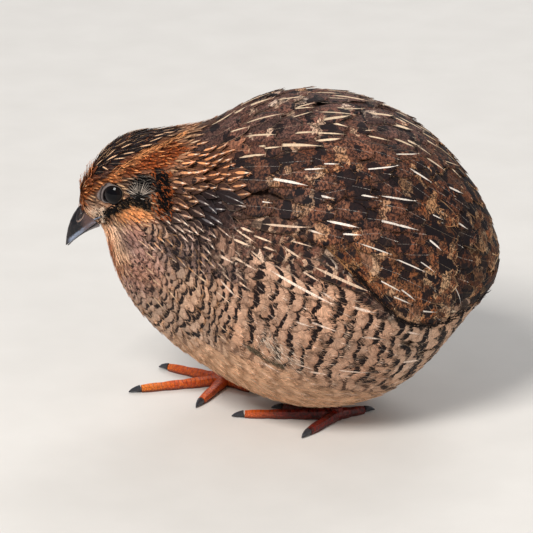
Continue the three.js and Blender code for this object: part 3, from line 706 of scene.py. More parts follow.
def barbs(look, u, top, normals, sides, ahead):
    """Loose barbs near the rims: whose they are, where on the vane, and their needles."""
    count, rows, cols = len(top), top.shape[1] - 1, top.shape[2] - 1
    who = np.repeat(np.arange(count), rng.poisson(look["barbs"]))
    total = len(who)
    r, c = rng.integers(rows // 2, rows, total), rng.integers(0, cols + 1, total)
    edge = rng.uniform(0, 1, total)
    c = np.where(edge < BARBS_AT_SIDES, rng.integers(0, 2, total) * cols, c)
    r = np.where(edge > 1 - BARBS_AT_TIP, rows - 1, r)
    part = rng.uniform(0, 1, (total, 1))
    start = top[who, r, c] * (1 - part) + top[who, r + 1, c] * part
    n = normals[who, r]
    fan = u[c] * BARB_FAN + rng.normal(0, BARB_STRAY, total)
    f = unit(ahead[who, r] + sides[who, r] * fan[:, None])
    stem = (look["barb_long"][who] * rng.uniform(*BARB_LENGTHS, total))[:, None]
    thin = (0.022 + 0.012 * look["gap"][who])[:, None] * rng.uniform(*BARB_GIRTHS, (total, 1))
    beside = np.cross(n, f) * thin
    rise = rng.uniform(0.0, BARB_RISE, (total, 1)) * stem
    root = start - 0.03 * n
    tip = start + f * stem + n * rise
    needles = np.stack([root + beside, root - beside, root + n * thin * 1.3, tip], 1)
    return who, r, c, part[:, 0], start, needles.reshape(-1, 3)


def carried(at, look, long):
    """What each feather carries for the plumage material, four numbers to a value."""
    count = len(at)
    chance = rng.normal(0, 1, count) * (0.02 + 0.2 * look["vary"])
    tone = np.exp(look["vary"] * drift(at, TONE_WAVE, 5) + chance)
    warm = (look["vary"] * (drift(at, WARM_WAVE, 8) + rng.normal(0, 0.2, count)))[:, None]
    tone = tone[:, None] * (1 + warm * WARMER)
    draw = rng.uniform(0, 1, (count, 4))
    own = rng.normal(0, 1, count) * look["loose"]

    def one(key):
        return look[key][:, None]

    shown = (draw[:, 2:3] < one("shaft_s")) * (0.7 + 0.6 * draw[:, 3:4])
    zero = 0 * one("bars")
    fringed = np.where(rng.uniform(0, 1, (count, 1)) < 0.45, 1.6, 0.5)
    values = {
        "ground": [look["ground"] * tone, one("verm") * (0.6 + 0.6 * draw[:, 1:2])],
        "mark": [look["mark"], one("blotch") * (0.2 + 1.4 * draw[:, 3:4])],
        "shaft": [look["shaft"] * (0.85 + 0.25 * draw[:, :1]), one("shaft_w") * shown],
        "fringe": [look["fringe"] * tone, one("fringe_w")],
        # the last of the bars' values is the amount of painted shade on the roots
        "bars": [one("bars"), zero, one("bar"), one("deep")],
        "field": [one("mottle"), one("buff"), one("block"), one("streak_at")],
        "draw": [draw[:, :2], one("fringe_s") * fringed, rng.uniform(0, 400, (count, 1))],
        "tone": [zero + 1, one("hair"), one("base"), long[:, None] / 20],
    }
    return {key: np.concatenate(parts, 1) for key, parts in values.items()}, own


def feathers(at, look, cols, rows, aim=None, size=None, raise_by=0.0, share=0.7):
    """Feathers whose visible middles lie at the given points, as one mesh."""
    count = len(at)
    long = look["gap"] * look["long"] * rng.uniform(*LENGTHS, count)
    wide = look["gap"] * look["wide"] * rng.uniform(*WIDTHS, count)
    if size is not None:
        long, wide = size
    u = np.linspace(-1, 1, cols + 1)
    v = 1 - (1 - np.linspace(0, 1, rows + 1)) ** 1.3
    line, normals, sides, ahead = course(at, look, long, v, aim, share)
    top, spine, across = vanes(look, wide, u, v, line, normals, sides, raise_by)
    vane_points = np.concatenate([top.reshape(count, -1, 3), spine], 1).reshape(-1, 3)
    who, r, c, part, start, needles = barbs(look, u, top, normals, sides, ahead)
    first = len(vane_points)
    owner = np.append(np.repeat(np.arange(count), first // count), np.repeat(who, 4))

    # what the corners carry
    values, own = carried(at, look, long)
    colours = {key: value[owner] for key, value in values.items()}
    seen = np.concatenate([vane_points, np.repeat(start, 4, 0)])
    sway = 1 - 0.65 * ease(24, 36, seen[:, 0])
    from_bill = np.linalg.norm(seen - LIE_FROM, axis=1) + sway * drift(seen, BAR_WAVE, 3)
    from_bill = from_bill + 0.2 * drift(seen, BAR_RIPPLE, 4)
    colours["bars"][:, 1] = from_bill / look["period"][owner] + own[owner] + 40
    dark_ones = rng.uniform(0, 1, len(who)) < 0.25
    colours["bars"][first:, 0] *= np.repeat(dark_ones, 4)
    glow = rng.uniform(0.7, 1.2, len(who)) + 0.6 * (rng.uniform(0, 1, len(who)) < 0.25)
    colours["tone"][first:, 0] = np.repeat(glow, 4)

    # places across and along the vane, as shares and in millimetres
    mesh_u, mesh_v = np.meshgrid(u, v)
    no_width = np.zeros((count, rows + 1))
    on_u = np.append(np.tile(np.append(mesh_u, no_width[0]), count), np.repeat(u[c], 4))
    on_v = np.append(np.tile(np.append(mesh_v, v), count),
                     np.repeat(v[r] + (v[r + 1] - v[r]) * part, 4))
    on_x = np.append(np.concatenate([across.reshape(count, -1), no_width], 1),
                     np.repeat(across[who, r, c], 4))
    home = unwrap(at)[owner] + np.stack([on_u * 0.0015, (on_v - 0.5) * 0.003], -1)
    home[first:] += np.tile(NEEDLE_UV * BARB_UV, (len(who), 1))
    uvs = {"Vane": np.stack([on_u, on_v], -1), "Flat": np.stack([on_x, on_v * long[owner]], -1),
           "OFBake": home}
    faces = vane_faces(count, cols, rows) + [needle_faces(len(who), first)]
    return dict(verts=np.concatenate([vane_points, needles]), faces=faces, uvs=uvs, colours=colours)


def join(parts):
    """Several feather meshes as one."""
    faces, start = {}, 0
    for part in parts:
        for f in part["faces"]:
            faces.setdefault(f.shape[1], []).append(f + start)
        start += len(part["verts"])

    def together(field):
        return {key: np.concatenate([p[field][key] for p in parts]) for key in parts[0][field]}

    return dict(verts=np.concatenate([p["verts"] for p in parts]), uvs=together("uvs"),
                faces=[np.concatenate(f) for f in faces.values()], colours=together("colours"))


def plumage_material():
    """Every feather's colours, from what its corners carry."""
    g = Graph("plumage")
    u, v, _ = g.split_place(g.put("ShaderNodeUVMap", uv_map="Vane"))
    flat_x, y, _ = g.split_place(g.put("ShaderNodeUVMap", uv_map="Flat"))
    x = abs(flat_x)
    ground, verm = g.attribute("ground")
    black, blotch = g.attribute("mark")
    shaft, shaft_width = g.attribute("shaft")
    fringe, fringe_width = g.attribute("fringe")
    field, begin = g.attribute("field")
    bars, root_shade = g.attribute("bars")
    draw, seed = g.attribute("draw")
    tone, length = g.attribute("tone")
    mottle, buff, block = g.split(field)
    bar_share, phase, bar_width = g.split(bars)
    draw_a, draw_b, fringe_share = g.split(draw)
    glow, hair, base = g.split(tone)

    # barbs leave the shaft at a slant; the noise is drawn out along them
    slant = y - x * 0.9
    barb = g.noise(g.place(slant * 4.5, x * 0.8, seed), 1.0, 2.0, 0.6)
    here = g.place(flat_x, y, seed)
    patchy, rough, fine = (g.noise(here, scale, 2.0) for scale in (0.33, 0.9, 2.8))
    by_barb, by_rough, by_fine = barb - 0.5, rough - 0.5, fine - 0.5

    # warmer and darker clouds within the vane
    cloud = g.ramp(g.noise(here, 0.55, 2.0), 0.42, 0.6)
    colour = g.mix(cloud * (verm * 0.8), ground, g.times(ground, (1.25, 0.92, 0.72, 1)))
    # angular patches, pale or dark, that run on from feather to feather
    spot = g.vector("ADD", g.millimetres(), g.place(draw_a * 1.4, 0.0, draw_b * 1.4))
    curl = g.noise(spot, 0.6, 2.0, out="Color")
    curled = g.vector("MULTIPLY_ADD", curl, (2.6, 2.6, 2.6), spot)
    curled = g.vector("MULTIPLY", curled, (1.35, 0.9, 0.85))
    cells = g.put("ShaderNodeTexVoronoi", {"Vector": curled, "Scale": 0.36}, "Color")
    lot_a, lot_b, lot_c = g.split(cells)
    colour = g.times(colour, g.mix(mottle, (1, 1, 1, 1), g.grey(0.78 + lot_c * 0.44)))
    pale = g.ramp(buff - lot_a, -0.01, 0.01)
    colour = g.mix(pale * 0.75, colour, fringe)
    speck = g.noise(g.vector("MULTIPLY", spot, (1.4, 1.1, 0.8)), 1.55, 3.0, 0.7)
    colour = g.mix(g.ramp(speck, 0.48, 0.53) * (mottle * 0.95), colour, black)
    colour = g.mix(g.ramp(block - lot_b, -0.01, 0.01) * 0.93, colour, black)
    # wavy dark lines across the vane
    lines = g.calc("SINE", slant * 6.5 + rough * 16.0) + by_fine * 5.0
    lines = g.ramp(lines, 0.1, 0.8) * g.ramp(patchy, 0.36, 0.52)
    colour = g.mix(lines * verm, colour, black)
    # a dark patch on one web or the other
    du = (u - (draw_a - 0.5) * 1.6) * 1.1
    dv = (v - (draw_b * 0.24 + 0.62)) * 7.0
    apart = g.calc("SQRT", du * du + dv * dv) + by_rough * 1.6 + by_barb * 0.5
    spots = g.ramp(blotch * 0.8 - apart, -0.05, 0.08)
    colour = g.mix(spots * g.ramp(blotch, 0.02, 0.1), colour, black)
    # a dark base, seen between the tips
    at_base = 0.83 - v + by_rough * 0.2
    colour = g.mix(g.ramp(at_base, -0.03, 0.05) * base, colour, black)
    # bars that run on from feather to feather, brown towards the root, black towards the tip
    turn = g.calc("FRACT", phase + u * u * 0.4 + by_rough * 0.4 + by_barb * 0.22)
    stripe = g.ramp(bar_width * 0.5 - abs(turn - 0.5), -0.03, 0.03)
    inner = g.ramp(turn, 0.05, 0.45) * g.ramp(turn, 0.55, 0.5)
    brown = g.times(colour, (0.46, 0.33, 0.27, 1))
    colour = g.mix(inner * 0.8 * bar_share, colour, brown)
    colour = g.mix(stripe * bar_share, colour, black)
    # the pale fringe
    from_side, from_tip = (1.0 - abs(u)) * 2.5, (1.0 - v) * (length * 20.0)
    edge = g.calc("MINIMUM", from_side, from_tip) + by_fine * 0.3
    rim = g.ramp(fringe_width - edge, -0.08, 0.08)
    colour = g.mix(rim * fringe_share, colour, fringe)
    # the pale shaft streak, a spindle drawn out to a point
    rise = g.calc("MINIMUM", begin, 0.3)
    taper = g.ramp(v, rise, rise + 0.2) * g.ramp(v, 1.03, 1.1 - begin)
    quill = g.ramp(shaft_width * taper - (x + by_fine * 0.12), -0.04, 0.04)
    near_root = g.ramp(begin, 0.35, 0.45) * g.ramp(v, 0.84, 0.7)
    colour = g.mix(quill, colour, g.mix(near_root, shaft, fringe))
    # painted light and shade among the barbs, and darker roots: painted shade where the feathers
    # before them lie over them
    streak = 1.0 + by_barb * 2.4 * hair
    deep = 1.0 - g.ramp(v, 0.72, 0.3) * root_shade
    colour = g.times(colour, g.grey(streak * deep * glow))
    return g.finish(colour, 0.7, barb, 0.5, specular=0.15)


# Skin under the coat of torso, neck and head
SKIN_BALLS = (((9.6, 0, 40), 90, -1.5), ((-21, 0, 55), 40, -1.2), ((-37, 0, 57), 40, -0.6))
SKIN_VOXEL = 0.75


def skin():
    """The points and quads of one closed surface below the plumage's."""
    bm = bmesh.new()
    for centre, far, level in SKIN_BALLS:
        ball = bmesh.ops.create_icosphere(bm, subdivisions=6, radius=1)["verts"]
        ways = unit(np.array([v.co for v in ball]))
        spots = np.array(centre) + ways * reach(np.array(centre), ways, far, level)[:, None]
        for v, p in zip(ball, spots):
            v.co = Vector(p)
    mesh = bpy.data.meshes.new("skin")
    bm.to_mesh(mesh)
    bm.free()
    whole = add_object("whole", mesh)
    remesh = whole.modifiers.new("remesh", "REMESH")
    remesh.mode = "VOXEL"
    remesh.voxel_size = SKIN_VOXEL
    mesh = whole.evaluated_get(bpy.context.evaluated_depsgraph_get()).to_mesh()
    spots = np.zeros(len(mesh.vertices) * 3)
    mesh.vertices.foreach_get("co", spots)
    corners = np.zeros(len(mesh.loops), np.int32)
    mesh.loops.foreach_get("vertex_index", corners)
    bpy.data.objects.remove(whole)
    spots = spots.reshape(-1, 3)
    depth = 0.6 + 0.9 * ease(-32, -16, spots[:, 0])
    return settle(spots, -depth, 3), corners.reshape(-1, 4)


def sample(spots, faces, gap, dense):
    """Random points on the skin, nearer together where the gap is small."""
    a, b, c, d = (spots[faces[:, k]] for k in range(4))
    area = (np.linalg.norm(np.cross(b - a, c - a), axis=1)
            + np.linalg.norm(np.cross(c - a, d - a), axis=1)) / 2
    weight = area / gap ** 2
    total = int(dense * weight.sum())
    pick = rng.choice(len(faces), total, p=weight / weight.sum())
    s, t = rng.uniform(0, 1, (2, total, 1))
    return (a[pick] * (1 - s) + b[pick] * s) * (1 - t) + (d[pick] * (1 - s) + c[pick] * s) * t


def spread(points, gap):
    """Thins the points out until none lies nearer to another than the gap."""
    tree = KDTree(len(points))
    for i, p in enumerate(points):
        tree.insert(p, i)
    tree.balance()
    free = np.ones(len(points), bool)
    kept = []
    for i in rng.permutation(len(points)):
        if free[i]:
            kept.append(i)
            for _, j, _ in tree.find_range(points[i], gap[i]):
                free[j] = False
    return np.array(kept)


def clear_of_eyes(p):
    """True for points outside the lids of both eyes."""
    clear = np.ones(len(p), bool)
    for _, side in SIDES:
        angle, away = round_the_eye(p, side)
        rim = lid_inner(angle) + lid_width(angle) + 0.05 + 0.5 * hump(angle, 30, 50)
        clear &= (away > rim) | (p[:, 1] * side < 0)
    return clear


def raised(p):
    """How far the wing's feathers stand off the body."""
    return 0.7 * inside(side_view(p), WING, 0.8) * ease(5, 12, np.abs(p[:, 1]))


# gaps between the points tried and between those kept, as shares of the feathers' gap
TRIED_TO_A_GAP, KEPT_APART = 5.0, 0.86


def feather_places(skin_at, skin_faces):
    """Where the body's feathers lie: points on her, evenly apart for the region's gap."""
    gap = looks(skin_at[skin_faces].mean(1))["gap"]
    points = settle(sample(skin_at, skin_faces, gap, TRIED_TO_A_GAP), 0, 2)
    points = points[clear_of_eyes(points)]
    return points[spread(points, looks(points)["gap"] * KEPT_APART)]


def put_coat(name, part, stands_for=()):
    make(name, part["verts"], part["faces"], plumage, stands_for, part["uvs"], part["colours"])


# feathers this close together belong to the head, and the wing's lie this far out
HEAD_GAP, WING_OUT = 1.7, 6


def body_coat(points):
    """Body feathers: a point belongs to the first region that has it."""
    table, q = looks(points), side_view(points)

    def marked(outline, soft=0.5):
        return inside(q, outline, soft) > 0.5

    left = points[:, 1] < 0
    wing = marked(WING, 0.8) & (np.abs(points[:, 1]) > WING_OUT)
    everywhere = np.ones(len(points), bool)
    free = everywhere
    for name, mask, cols, rows in (
        ("head_feathers", table["gap"] < HEAD_GAP, 4, 6),
        ("wing_coverts_left", wing & left, 6, 10),
        ("wing_coverts_right", wing & ~left, 6, 10),
        ("rump_feathers", marked(RUMP, 0.3), 6, 9),
        ("underparts_feathers", marked(BELLY) | marked(VENT), 6, 9),
        ("flank_feathers", marked(FLANK), 6, 9),
        ("mantle_feathers", everywhere, 6, 9),
    ):
        own = mask & free
        free = free & ~mask
        look = {key: value[own] for key, value in table.items()}
        put_coat(name, feathers(points[own], look, cols, rows, raise_by=raised(points[own])))


# Long pale shafts: where each begins and ends in the side view, and half its width
SHAFTS = np.array([
    (3.5, 22.2, 9.0, 22.2, 0.16), (8.6, 23.6, 12.4, 23.2, 0.16), (5.4, 16.7, 11.2, 15.5, 0.2),
    (-5.4, 10.0, 5.4, 9.0, 0.22), (9.0, 10.7, 16.7, 9.0, 0.24), (-5.4, 15.0, -2.5, 14.5, 0.14),
    (5.4, 7.1, 9.8, 5.2, 0.18), (-6.8, 5.6, -1.8, 3.7, 0.22), (-10.2, 9.2, -7.0, 8.0, 0.2),
    (10.2, 40.4, 19.8, 39.2, 0.45), (12.6, 37.1, 18.6, 36.8, 0.16), (19.1, 36.4, 25.8, 35.2, 0.4),
    (24.6, 34.0, 29.9, 32.0, 0.4), (27.8, 30.4, 31.4, 28.2, 0.3), (17.0, 22.2, 25.8, 22.9, 0.22),
    (24.6, 26.0, 30.9, 25.8, 0.16), (14.8, 16.9, 21.0, 15.7, 0.15), (21.5, 16.4, 29.7, 15.0, 0.16),
    (18.6, 11.4, 30.2, 8.5, 0.2), (16.7, 5.6, 24.2, 3.0, 0.17), (24.6, 2.3, 31.8, -0.8, 0.16),
    (30.2, 2.0, 34.2, -0.8, 0.14), (32.1, 13.1, 36.2, 10.9, 0.16), (37.8, 11.9, 42.2, 8.8, 0.2),
    (37.8, 18.8, 41.0, 16.9, 0.2), (35.0, 26.0, 41.4, 23.6, 0.14), (32.1, 7.3, 35.9, 4.0, 0.2),
    (35.4, 1.1, 41.0, -8.0, 0.13), (25.1, -3.7, 29.9, -7.3, 0.16), (-10.2, 27.3, 8.6, 27.7, 0.34),
    (6.6, 29.2, 13.1, 29.4, 0.35), (-11.4, 21.7, -7.0, 21.2, 0.3), (-8.2, 20.8, 5.4, 18.4, 0.26),
    (-15.0, 34.4, -2.5, 39.2, 0.4), (-10.2, 33.2, -0.1, 35.4, 0.16), (1.6, 37.1, 7.1, 38.0, 0.18),
    (0.9, 34.7, 6.6, 35.9, 0.15), (6.6, 34.0, 15.3, 34.9, 0.4), (16.2, 31.8, 21.0, 31.6, 0.14),
    (-14.0, 16.7, -9.0, 14.5, 0.12), (-18.8, 17.6, -15.2, 16.0, 0.12),
    (-4.9, 0.4, 10.6, -8.0, 0.42), (5.2, 0.9, 19.4, -5.4, 0.4), (14.1, -8.8, 20.6, -10.4, 0.3),
    (-12.0, 6.6, -8.0, 5.0, 0.22), (-13.0, 3.2, -9.0, 1.0, 0.25),
])
# the broad ones of the flank stand above the wing's edge
BROAD, FLANK_TOP = 0.38, 5


def streaks(side):
    start, end = seen_at(SHAFTS[:, :2], side), seen_at(SHAFTS[:, 2:4], side)
    half = SHAFTS[:, 4]
    look = looks((start + end) / 2)
    run = np.linalg.norm(end - start, axis=1)
    root = settle(start - unit(end - start) * (0.35 * run)[:, None], 0, 3)
    look.update(shaft_w=half, shaft_s=np.ones(len(run)), sink=0 * run + 0.9, yaw=0 * run,
                point=0 * run + 0.5)
    above = 0.34 + 0.4 * (half > BROAD) * (SHAFTS[:, 1] < FLANK_TOP)
    high = np.maximum(raised(start), raised(end)) + above
    size = (run * 1.38, np.clip(0.45 * run, 2.6, 4.2))
    return feathers(root, look, 6, 16, aim=end, size=size, raise_by=high, share=0)


# Long feathers of wing and tail. A row of the wing has its count, three (x, z) places of the
# line of its roots and of its tips, the feathers' width, and how high it lies.
QUILLS = [
    (9, ((19, 50), (12, 53.5), (5, 59)), ((38.2, 31.5), (25.2, 38.0), (14, 52.5)), 5.4, 0.0),
    (6, ((16, 66), (17.5, 59), (19, 52)), ((39.5, 54), (39.2, 45), (39, 36)), 8.2, 0.25),
]
QUILL_LOOK = dict(
    BASE, point=0.25, rag=0.05, yaw=0.02, lift=0.1, sink=1.1, ground=(116, 77, 52), verm=1.0,
    buff=0.2, block=0.27, blotch=0.7, shaft_w=0.14, shaft_s=0.0, shaft=(204, 180, 150),
    fringe=(184, 142, 104), fringe_w=0.3, fringe_s=0.6, hair=0.35,
)
# height, half the spread, count, length and width of each tier of the tail
TAIL_TIERS = [
    (48, 11, 7, 19, 7.0), (46, 16, 2, 14, 6.6), (54, 14.5, 7, 14, 7.0), (60, 12, 6, 14, 7.4),
    (66, 9, 5, 14, 7.4),
]
TAIL_LOOK = dict(QUILL_LOOK, blotch=1.2, verm=0.7, sink=1.2)


def uniform(entry, count):
    return {key: np.repeat(as_numbers(key, value)[None], count, 0) for key, value in entry.items()}


def wing_quills(side):
    parts = []
    for count, roots, tips, width, high in QUILLS:
        ends = []
        for bend in (roots, tips):
            t = np.linspace(0, 1, count)
            x, z = (np.interp(t, [0, 0.5, 1], [spot[k] for spot in bend]) for k in (0, 1))
            ends.append(leave(np.stack([x, 0 * x, z], -1), (0, side, 0)))
        root, tip = ends
        size = (np.linalg.norm(tip - root, axis=1) * 1.06, np.full(count, width))
        parts.append(feathers(root, uniform(QUILL_LOOK, count), 8, 16, aim=tip, size=size,
                              raise_by=0.6 + high, share=0))
    return join(parts)


# where the tail's feathers start, reckoned along her, and how far on their tips point
TAIL_FROM, TAIL_RUN = 30.0, np.array([8.0, 0, -40.0])


def tail_quills():
    parts = []
    for height, half_spread, count, length, width in TAIL_TIERS:
        y = np.linspace(-half_spread, half_spread, count)
        high = height - np.abs(y) / 4 + rng.uniform(0, 1, count)
        root = leave(np.stack([np.full(count, TAIL_FROM), y, high], 1), (1, 0, 0))
        aim = root + TAIL_RUN + np.stack([0 * y, -0.3 * y, 0 * y], 1)
        size = (np.full(count, float(length)), np.full(count, width))
        parts.append(feathers(root, uniform(TAIL_LOOK, count), 8, 14, aim=aim, size=size,
                              raise_by=0.1, share=0))
    return join(parts)


# Hairs
def angles(degrees):
    return np.stack([np.cos(np.radians(degrees)), np.sin(np.radians(degrees))], -1)


def hairs(start, way, lengths, half, colour, side, lift=0.25, base=0.05):
    """Needles in one colour, given by their places and directions in the side view."""
    end = start + way * rng.uniform(*lengths, (len(start), 1))
    on_her = np.maximum(surface(on_middle(start)), surface(on_middle(end))) < -0.2
    root, tip = seen_at(start[on_her], side), seen_at(end[on_her], side)
    count = len(root)
    shade = rng.uniform(0.6, 1.2, (count, 1))
    root, tip = root + outward(root) * base, tip + outward(tip) * lift
    n = outward(root)
    beside = np.cross(n, unit(tip - root)) * half
    verts = np.stack([root + beside, root - beside, root + n * half, tip], 1)
    plain = np.zeros((count, 4))
    ground = np.concatenate([srgb(*colour) * shade, plain[:, :1]], 1)
    values = dict(ground=ground, mark=plain, shaft=plain, fringe=plain, bars=plain,
                  field=plain, draw=plain, tone=plain + np.array([1, 0.3, 0, 0.1]))
    home = unwrap(root).repeat(4, 0) + np.tile(NEEDLE_UV * HAIR_UV, (count, 1))
    here = np.tile(np.array([[1.0, 0.9]]), (count * 4, 1))
    return dict(verts=verts.reshape(-1, 3), faces=[needle_faces(count)],
                uvs={"Vane": here * [0, 1], "Flat": here, "OFBake": home},
                colours={key: value.repeat(4, 0) for key, value in values.items()})


def patch(count, u, v):
    """Places in a patch of the side view."""
    return np.stack([rng.uniform(*u, count), rng.uniform(*v, count)], -1)


def line_places(count, u, v, spread_out):
    """Places along a line of the side view given by two functions, and their shares of it."""
    t = rng.uniform(0, 1, count)
    return np.stack([u(t), v(t)], -1) + rng.normal(0, 1, (count, 2)) * spread_out, t


def curve_slope(t, rise, power, run, soft):
    """The slope in degrees of a line that rises as a power of its share."""
    return np.degrees(np.arctan2(rise * power * (t + soft) ** (power - 1), run))


WING_EDGE = np.array([
    (15.0, 0.3), (17.6, -2.6), (20.8, -6.2), (25.4, -11.0), (29.8, -13.2), (34.5, -13.4),
    (38.6, -12.2), (42.6, -9.8), (48.6, -5.2),
])


def tufts(side):
    """All hairs of one side of her."""
    found = []

    def tuft(start, slope, wobble, lengths, half, colour, lift=0.25, base=0.05):
        way = angles(slope + rng.normal(0, wobble, len(start)))
        found.append(hairs(start, way, lengths, half, colour, side, lift, base))

    # pale hairs that fan out over the ear
    way = angles(np.linspace(20, 160, 18) + rng.normal(0, 3, 18))
    start = np.array([-33.7, 16.6]) + way * rng.uniform(0.6, 1.2, (18, 1)) * [1.3, 1]
    found.append(hairs(start, way, (2.4, 3.4), 0.075, (214, 198, 184), side, 0.4))
    # the black bar behind the ear, rusty at its edges
    start = patch(190, (-29.9, -27.0), (13.8, 22.0))
    start[:, 0] += 0.12 * (20 - start[:, 1])
    tuft(start, -48, 18, (0.9, 1.6), 0.18, (11, 8, 9), 0.35)
    tuft(patch(110, (-31.0, -26.0), (11.0, 22.5)), -40, 18, (1.0, 1.8), 0.12, (176, 92, 46), 0.45)
    # black specks below the eye and ear
    start, _ = line_places(130, lambda t: -42.4 + 11.5 * t,
                           lambda t: 11.9 + 3.5 * np.sin(2.3 * t), [0.3, 0.6])
    tuft(start, -12, 25, (0.5, 1.1), 0.22, (12, 9, 9))
    # buff bristles in front of the eye, over the nostril's back
    start = patch(260, (-46.8, -42.6), (9.8, 13.6))
    start[:, 1] += (start[:, 0] + 44.4) * 0.25
    tuft(start, 28, 22, (0.7, 1.5), 0.06, (250, 222, 196), 0.3)
    tuft(patch(50, (-44.4, -40.8), (10.2, 13.6)), -20, 30, (0.4, 0.8), 0.2, (14, 10, 10), 0.4)
    # the pale line between crown and brow
    start, t = line_places(90, lambda t: -40.0 + 17 * t, lambda t: 21.8 + 9.4 * t ** 0.8, 0.3)
    tuft(start, curve_slope(t, 9.4, 0.8, 17, 0.05), 7, (1.4, 2.6), 0.06, (250, 176, 116))
    # fans of fine white barbs and a parting among the flank's lower feathers
    start, t = line_places(150, lambda t: -5.0 + 9.0 * t, lambda t: -16.6 - 6.4 * t, [0.9, 1.3])
    tuft(start, -52 + 26 * t, 6, (1.8, 3.4), 0.045, (248, 226, 204), 0.45)
    start, _ = line_places(70, lambda t: -8.2 + 7.4 * t, lambda t: -18.6 - 4.6 * t, 0.28)
    tuft(start, -34, 8, (1.0, 2.2), 0.2, (112, 98, 80), 0.3)
    # pale strands along the crown
    start, t = line_places(44, lambda t: -45.5 + 18 * t, lambda t: 23.5 + 10.5 * t ** 0.62, [0.6, 0.9])
    tuft(start, curve_slope(t, 10.5, 0.62, 18, 0.08), 8, (1.6, 3.4), 0.06, (206, 164, 124))
    # painted shadow along the wing's lower edge: a rim of dark hairs
    at = rng.uniform(0, 1, 220) * (len(WING_EDGE) - 1.001)
    step = at.astype(int)
    run = WING_EDGE[step + 1] - WING_EDGE[step]
    start = WING_EDGE[step] + run * (at - step)[:, None] + rng.normal(0, 0.28, (220, 2))
    slope = np.degrees(np.arctan2(run[:, 1], run[:, 0]))
    tuft(start, slope, 12, (1.0, 2.2), 0.15, (30, 19, 15), 1.15, 0.85)
    return found


# The coat, in the order in which chance is drawn
rng = np.random.default_rng(11)
skin_at, skin_faces = skin()
plumage = plumage_material()
body_coat(feather_places(skin_at, skin_faces))
put_coat("streaked_feathers", join([streaks(side) for _, side in SIDES]))
for name, side in SIDES:
    put_coat(f"wing_quills_{name}", wing_quills(side), (f"wing_{name}",))
put_coat("tail_quills", tail_quills(), ("tail",))
put_coat("face_hairs", join(tufts(-1) + tufts(1)))


# Eyes and lids
def eye_gloss_material():
    g = Graph("eye_gloss")
    return g.finish(g.tint(), 0.04, specular=0.16)


def lid_skin_material():
    g = Graph("lid_skin")
    grain = g.noise(g.metres(), 4200.0, 3.0)
    tone = g.mix(g.ramp(grain, 0.35, 0.65), (0.7, 0.68, 0.68, 1), (1.1, 1.1, 1.12, 1))
    return g.finish(g.times(g.tint(), tone), 0.5, grain, 0.6)


def between(a, b, share):
    return a + (b - a) * share


PUPIL, IRIS = srgb(4, 4, 7), srgb(15, 9, 8)
LID, LOWER_LID, LID_RIM = srgb(112, 101, 98), srgb(104, 82, 56), srgb(96, 56, 34)
# painted shade of the lid: at the opening, in the groove, in the fold that tucks in to the ball and
# under the feathers
LID_SHADE, LID_TUCK_SHADE, LID_EDGE_SHADE = srgb(34, 22, 20), srgb(16, 12, 13), srgb(60, 40, 36)
PUPIL_EDGE, IRIS_EDGE = (1.25, 1.6), (2.35, 2.0)
# across the lid from the opening: a bead and a groove, with place, half width and height
BEAD_AT, BEAD_HALF, BEAD_HIGH = 0.22, 0.3, 0.22
GROOVE_AT, GROOVE_HALF, GROOVE_DEEP = 0.85, 0.24, 0.3
LID_HIGH, EDGE_SUNK, LID_START = 0.06, 0.55, 2.1


def eyeball(name, side, material):
    look, centre, front, up = eye_axes(side)
    tilt = np.linspace(0, math.pi, 40)[:, None]
    turn = np.linspace(0, 2 * math.pi, 64, endpoint=False)[None]
    ring = np.cos(turn)[..., None] * front + np.sin(turn)[..., None] * up
    ball = centre + EYE_RADIUS * (np.cos(tilt)[..., None] * look + np.sin(tilt)[..., None] * ring)
    out = EYE_RADIUS * np.sin(tilt) + 0 * turn
    iris = ease(*PUPIL_EDGE, out) * ease(*IRIS_EDGE, out)
    tint = between(PUPIL, IRIS, iris[..., None])
    make_tinted(f"eyeball_{name}", ball, tint, material, side < 0, (f"eye_{name}",))


def eyelid(name, side, material):
    """One ring of bare skin: a bead along the opening, a groove behind it, a sunk outer edge.
    Painted shade darkens it at the opening, in the groove, where it tucks in towards the ball
    and where it runs under the feathers.
    """
    look, centre, front, up = eye_axes(side)
    count, steps = 120, 22
    turn = np.linspace(-math.pi, math.pi, count, endpoint=False)
    ring = np.cos(turn)[:, None] * front + np.sin(turn)[:, None] * up
    inner, wide = lid_inner(turn), lid_width(turn)
    broad = ease(0.9, 1.3, wide)
    lower = hump(turn, 225, 85)[:, None]
    # the first ring tucks in towards the ball, in painted shade
    band = [centre + ring * (inner - 0.3)[:, None] + look * 1.75]
    tints = [np.tile(LID_TUCK_SHADE, (count, 1))]
    for share in np.arange(steps) / (steps - 1):
        off = share * wide
        groove = np.exp(-(((off - GROOVE_AT) / GROOVE_HALF) ** 2)) * broad
        bead = BEAD_HIGH * np.exp(-(((off - BEAD_AT) / BEAD_HALF) ** 2))
        level = bead + LID_HIGH - GROOVE_DEEP * groove + 0.1 * ease(1.2, 1.6, off)
        level = level - EDGE_SUNK * share ** 8
        band.append(settle(centre + ring * (inner + off)[:, None] + look * LID_START, level, 3))
        pale = between(LID, LOWER_LID, lower)
        pale = pale + (LID_RIM - pale) * ease(0.6, 0.95, share) * broad[:, None]
        # painted shade at the opening, in the groove and where the lid runs under the feathers
        dark = np.maximum(np.maximum(1 - ease(0.0, 0.16, off), groove), 0.7 * ease(0.8, 1.0, share))
        tints.append(pale + dark[:, None] * (LID_SHADE - pale))
    # the last ring sinks under the feathers, in painted shade
    band.append(settle(centre + ring * (inner + wide * 0.5)[:, None] + look * LID_START, -1.0, 3))
    tints.append(np.tile(LID_EDGE_SHADE, (count, 1)))
    make_tinted(f"eyelid_{name}", np.stack(band), np.stack(tints), material,
                side > 0, tube=True)


eye_gloss, lid_skin = eye_gloss_material(), lid_skin_material()
for name, side in SIDES:
    eyeball(name, side, eye_gloss)
    eyelid(name, side, lid_skin)

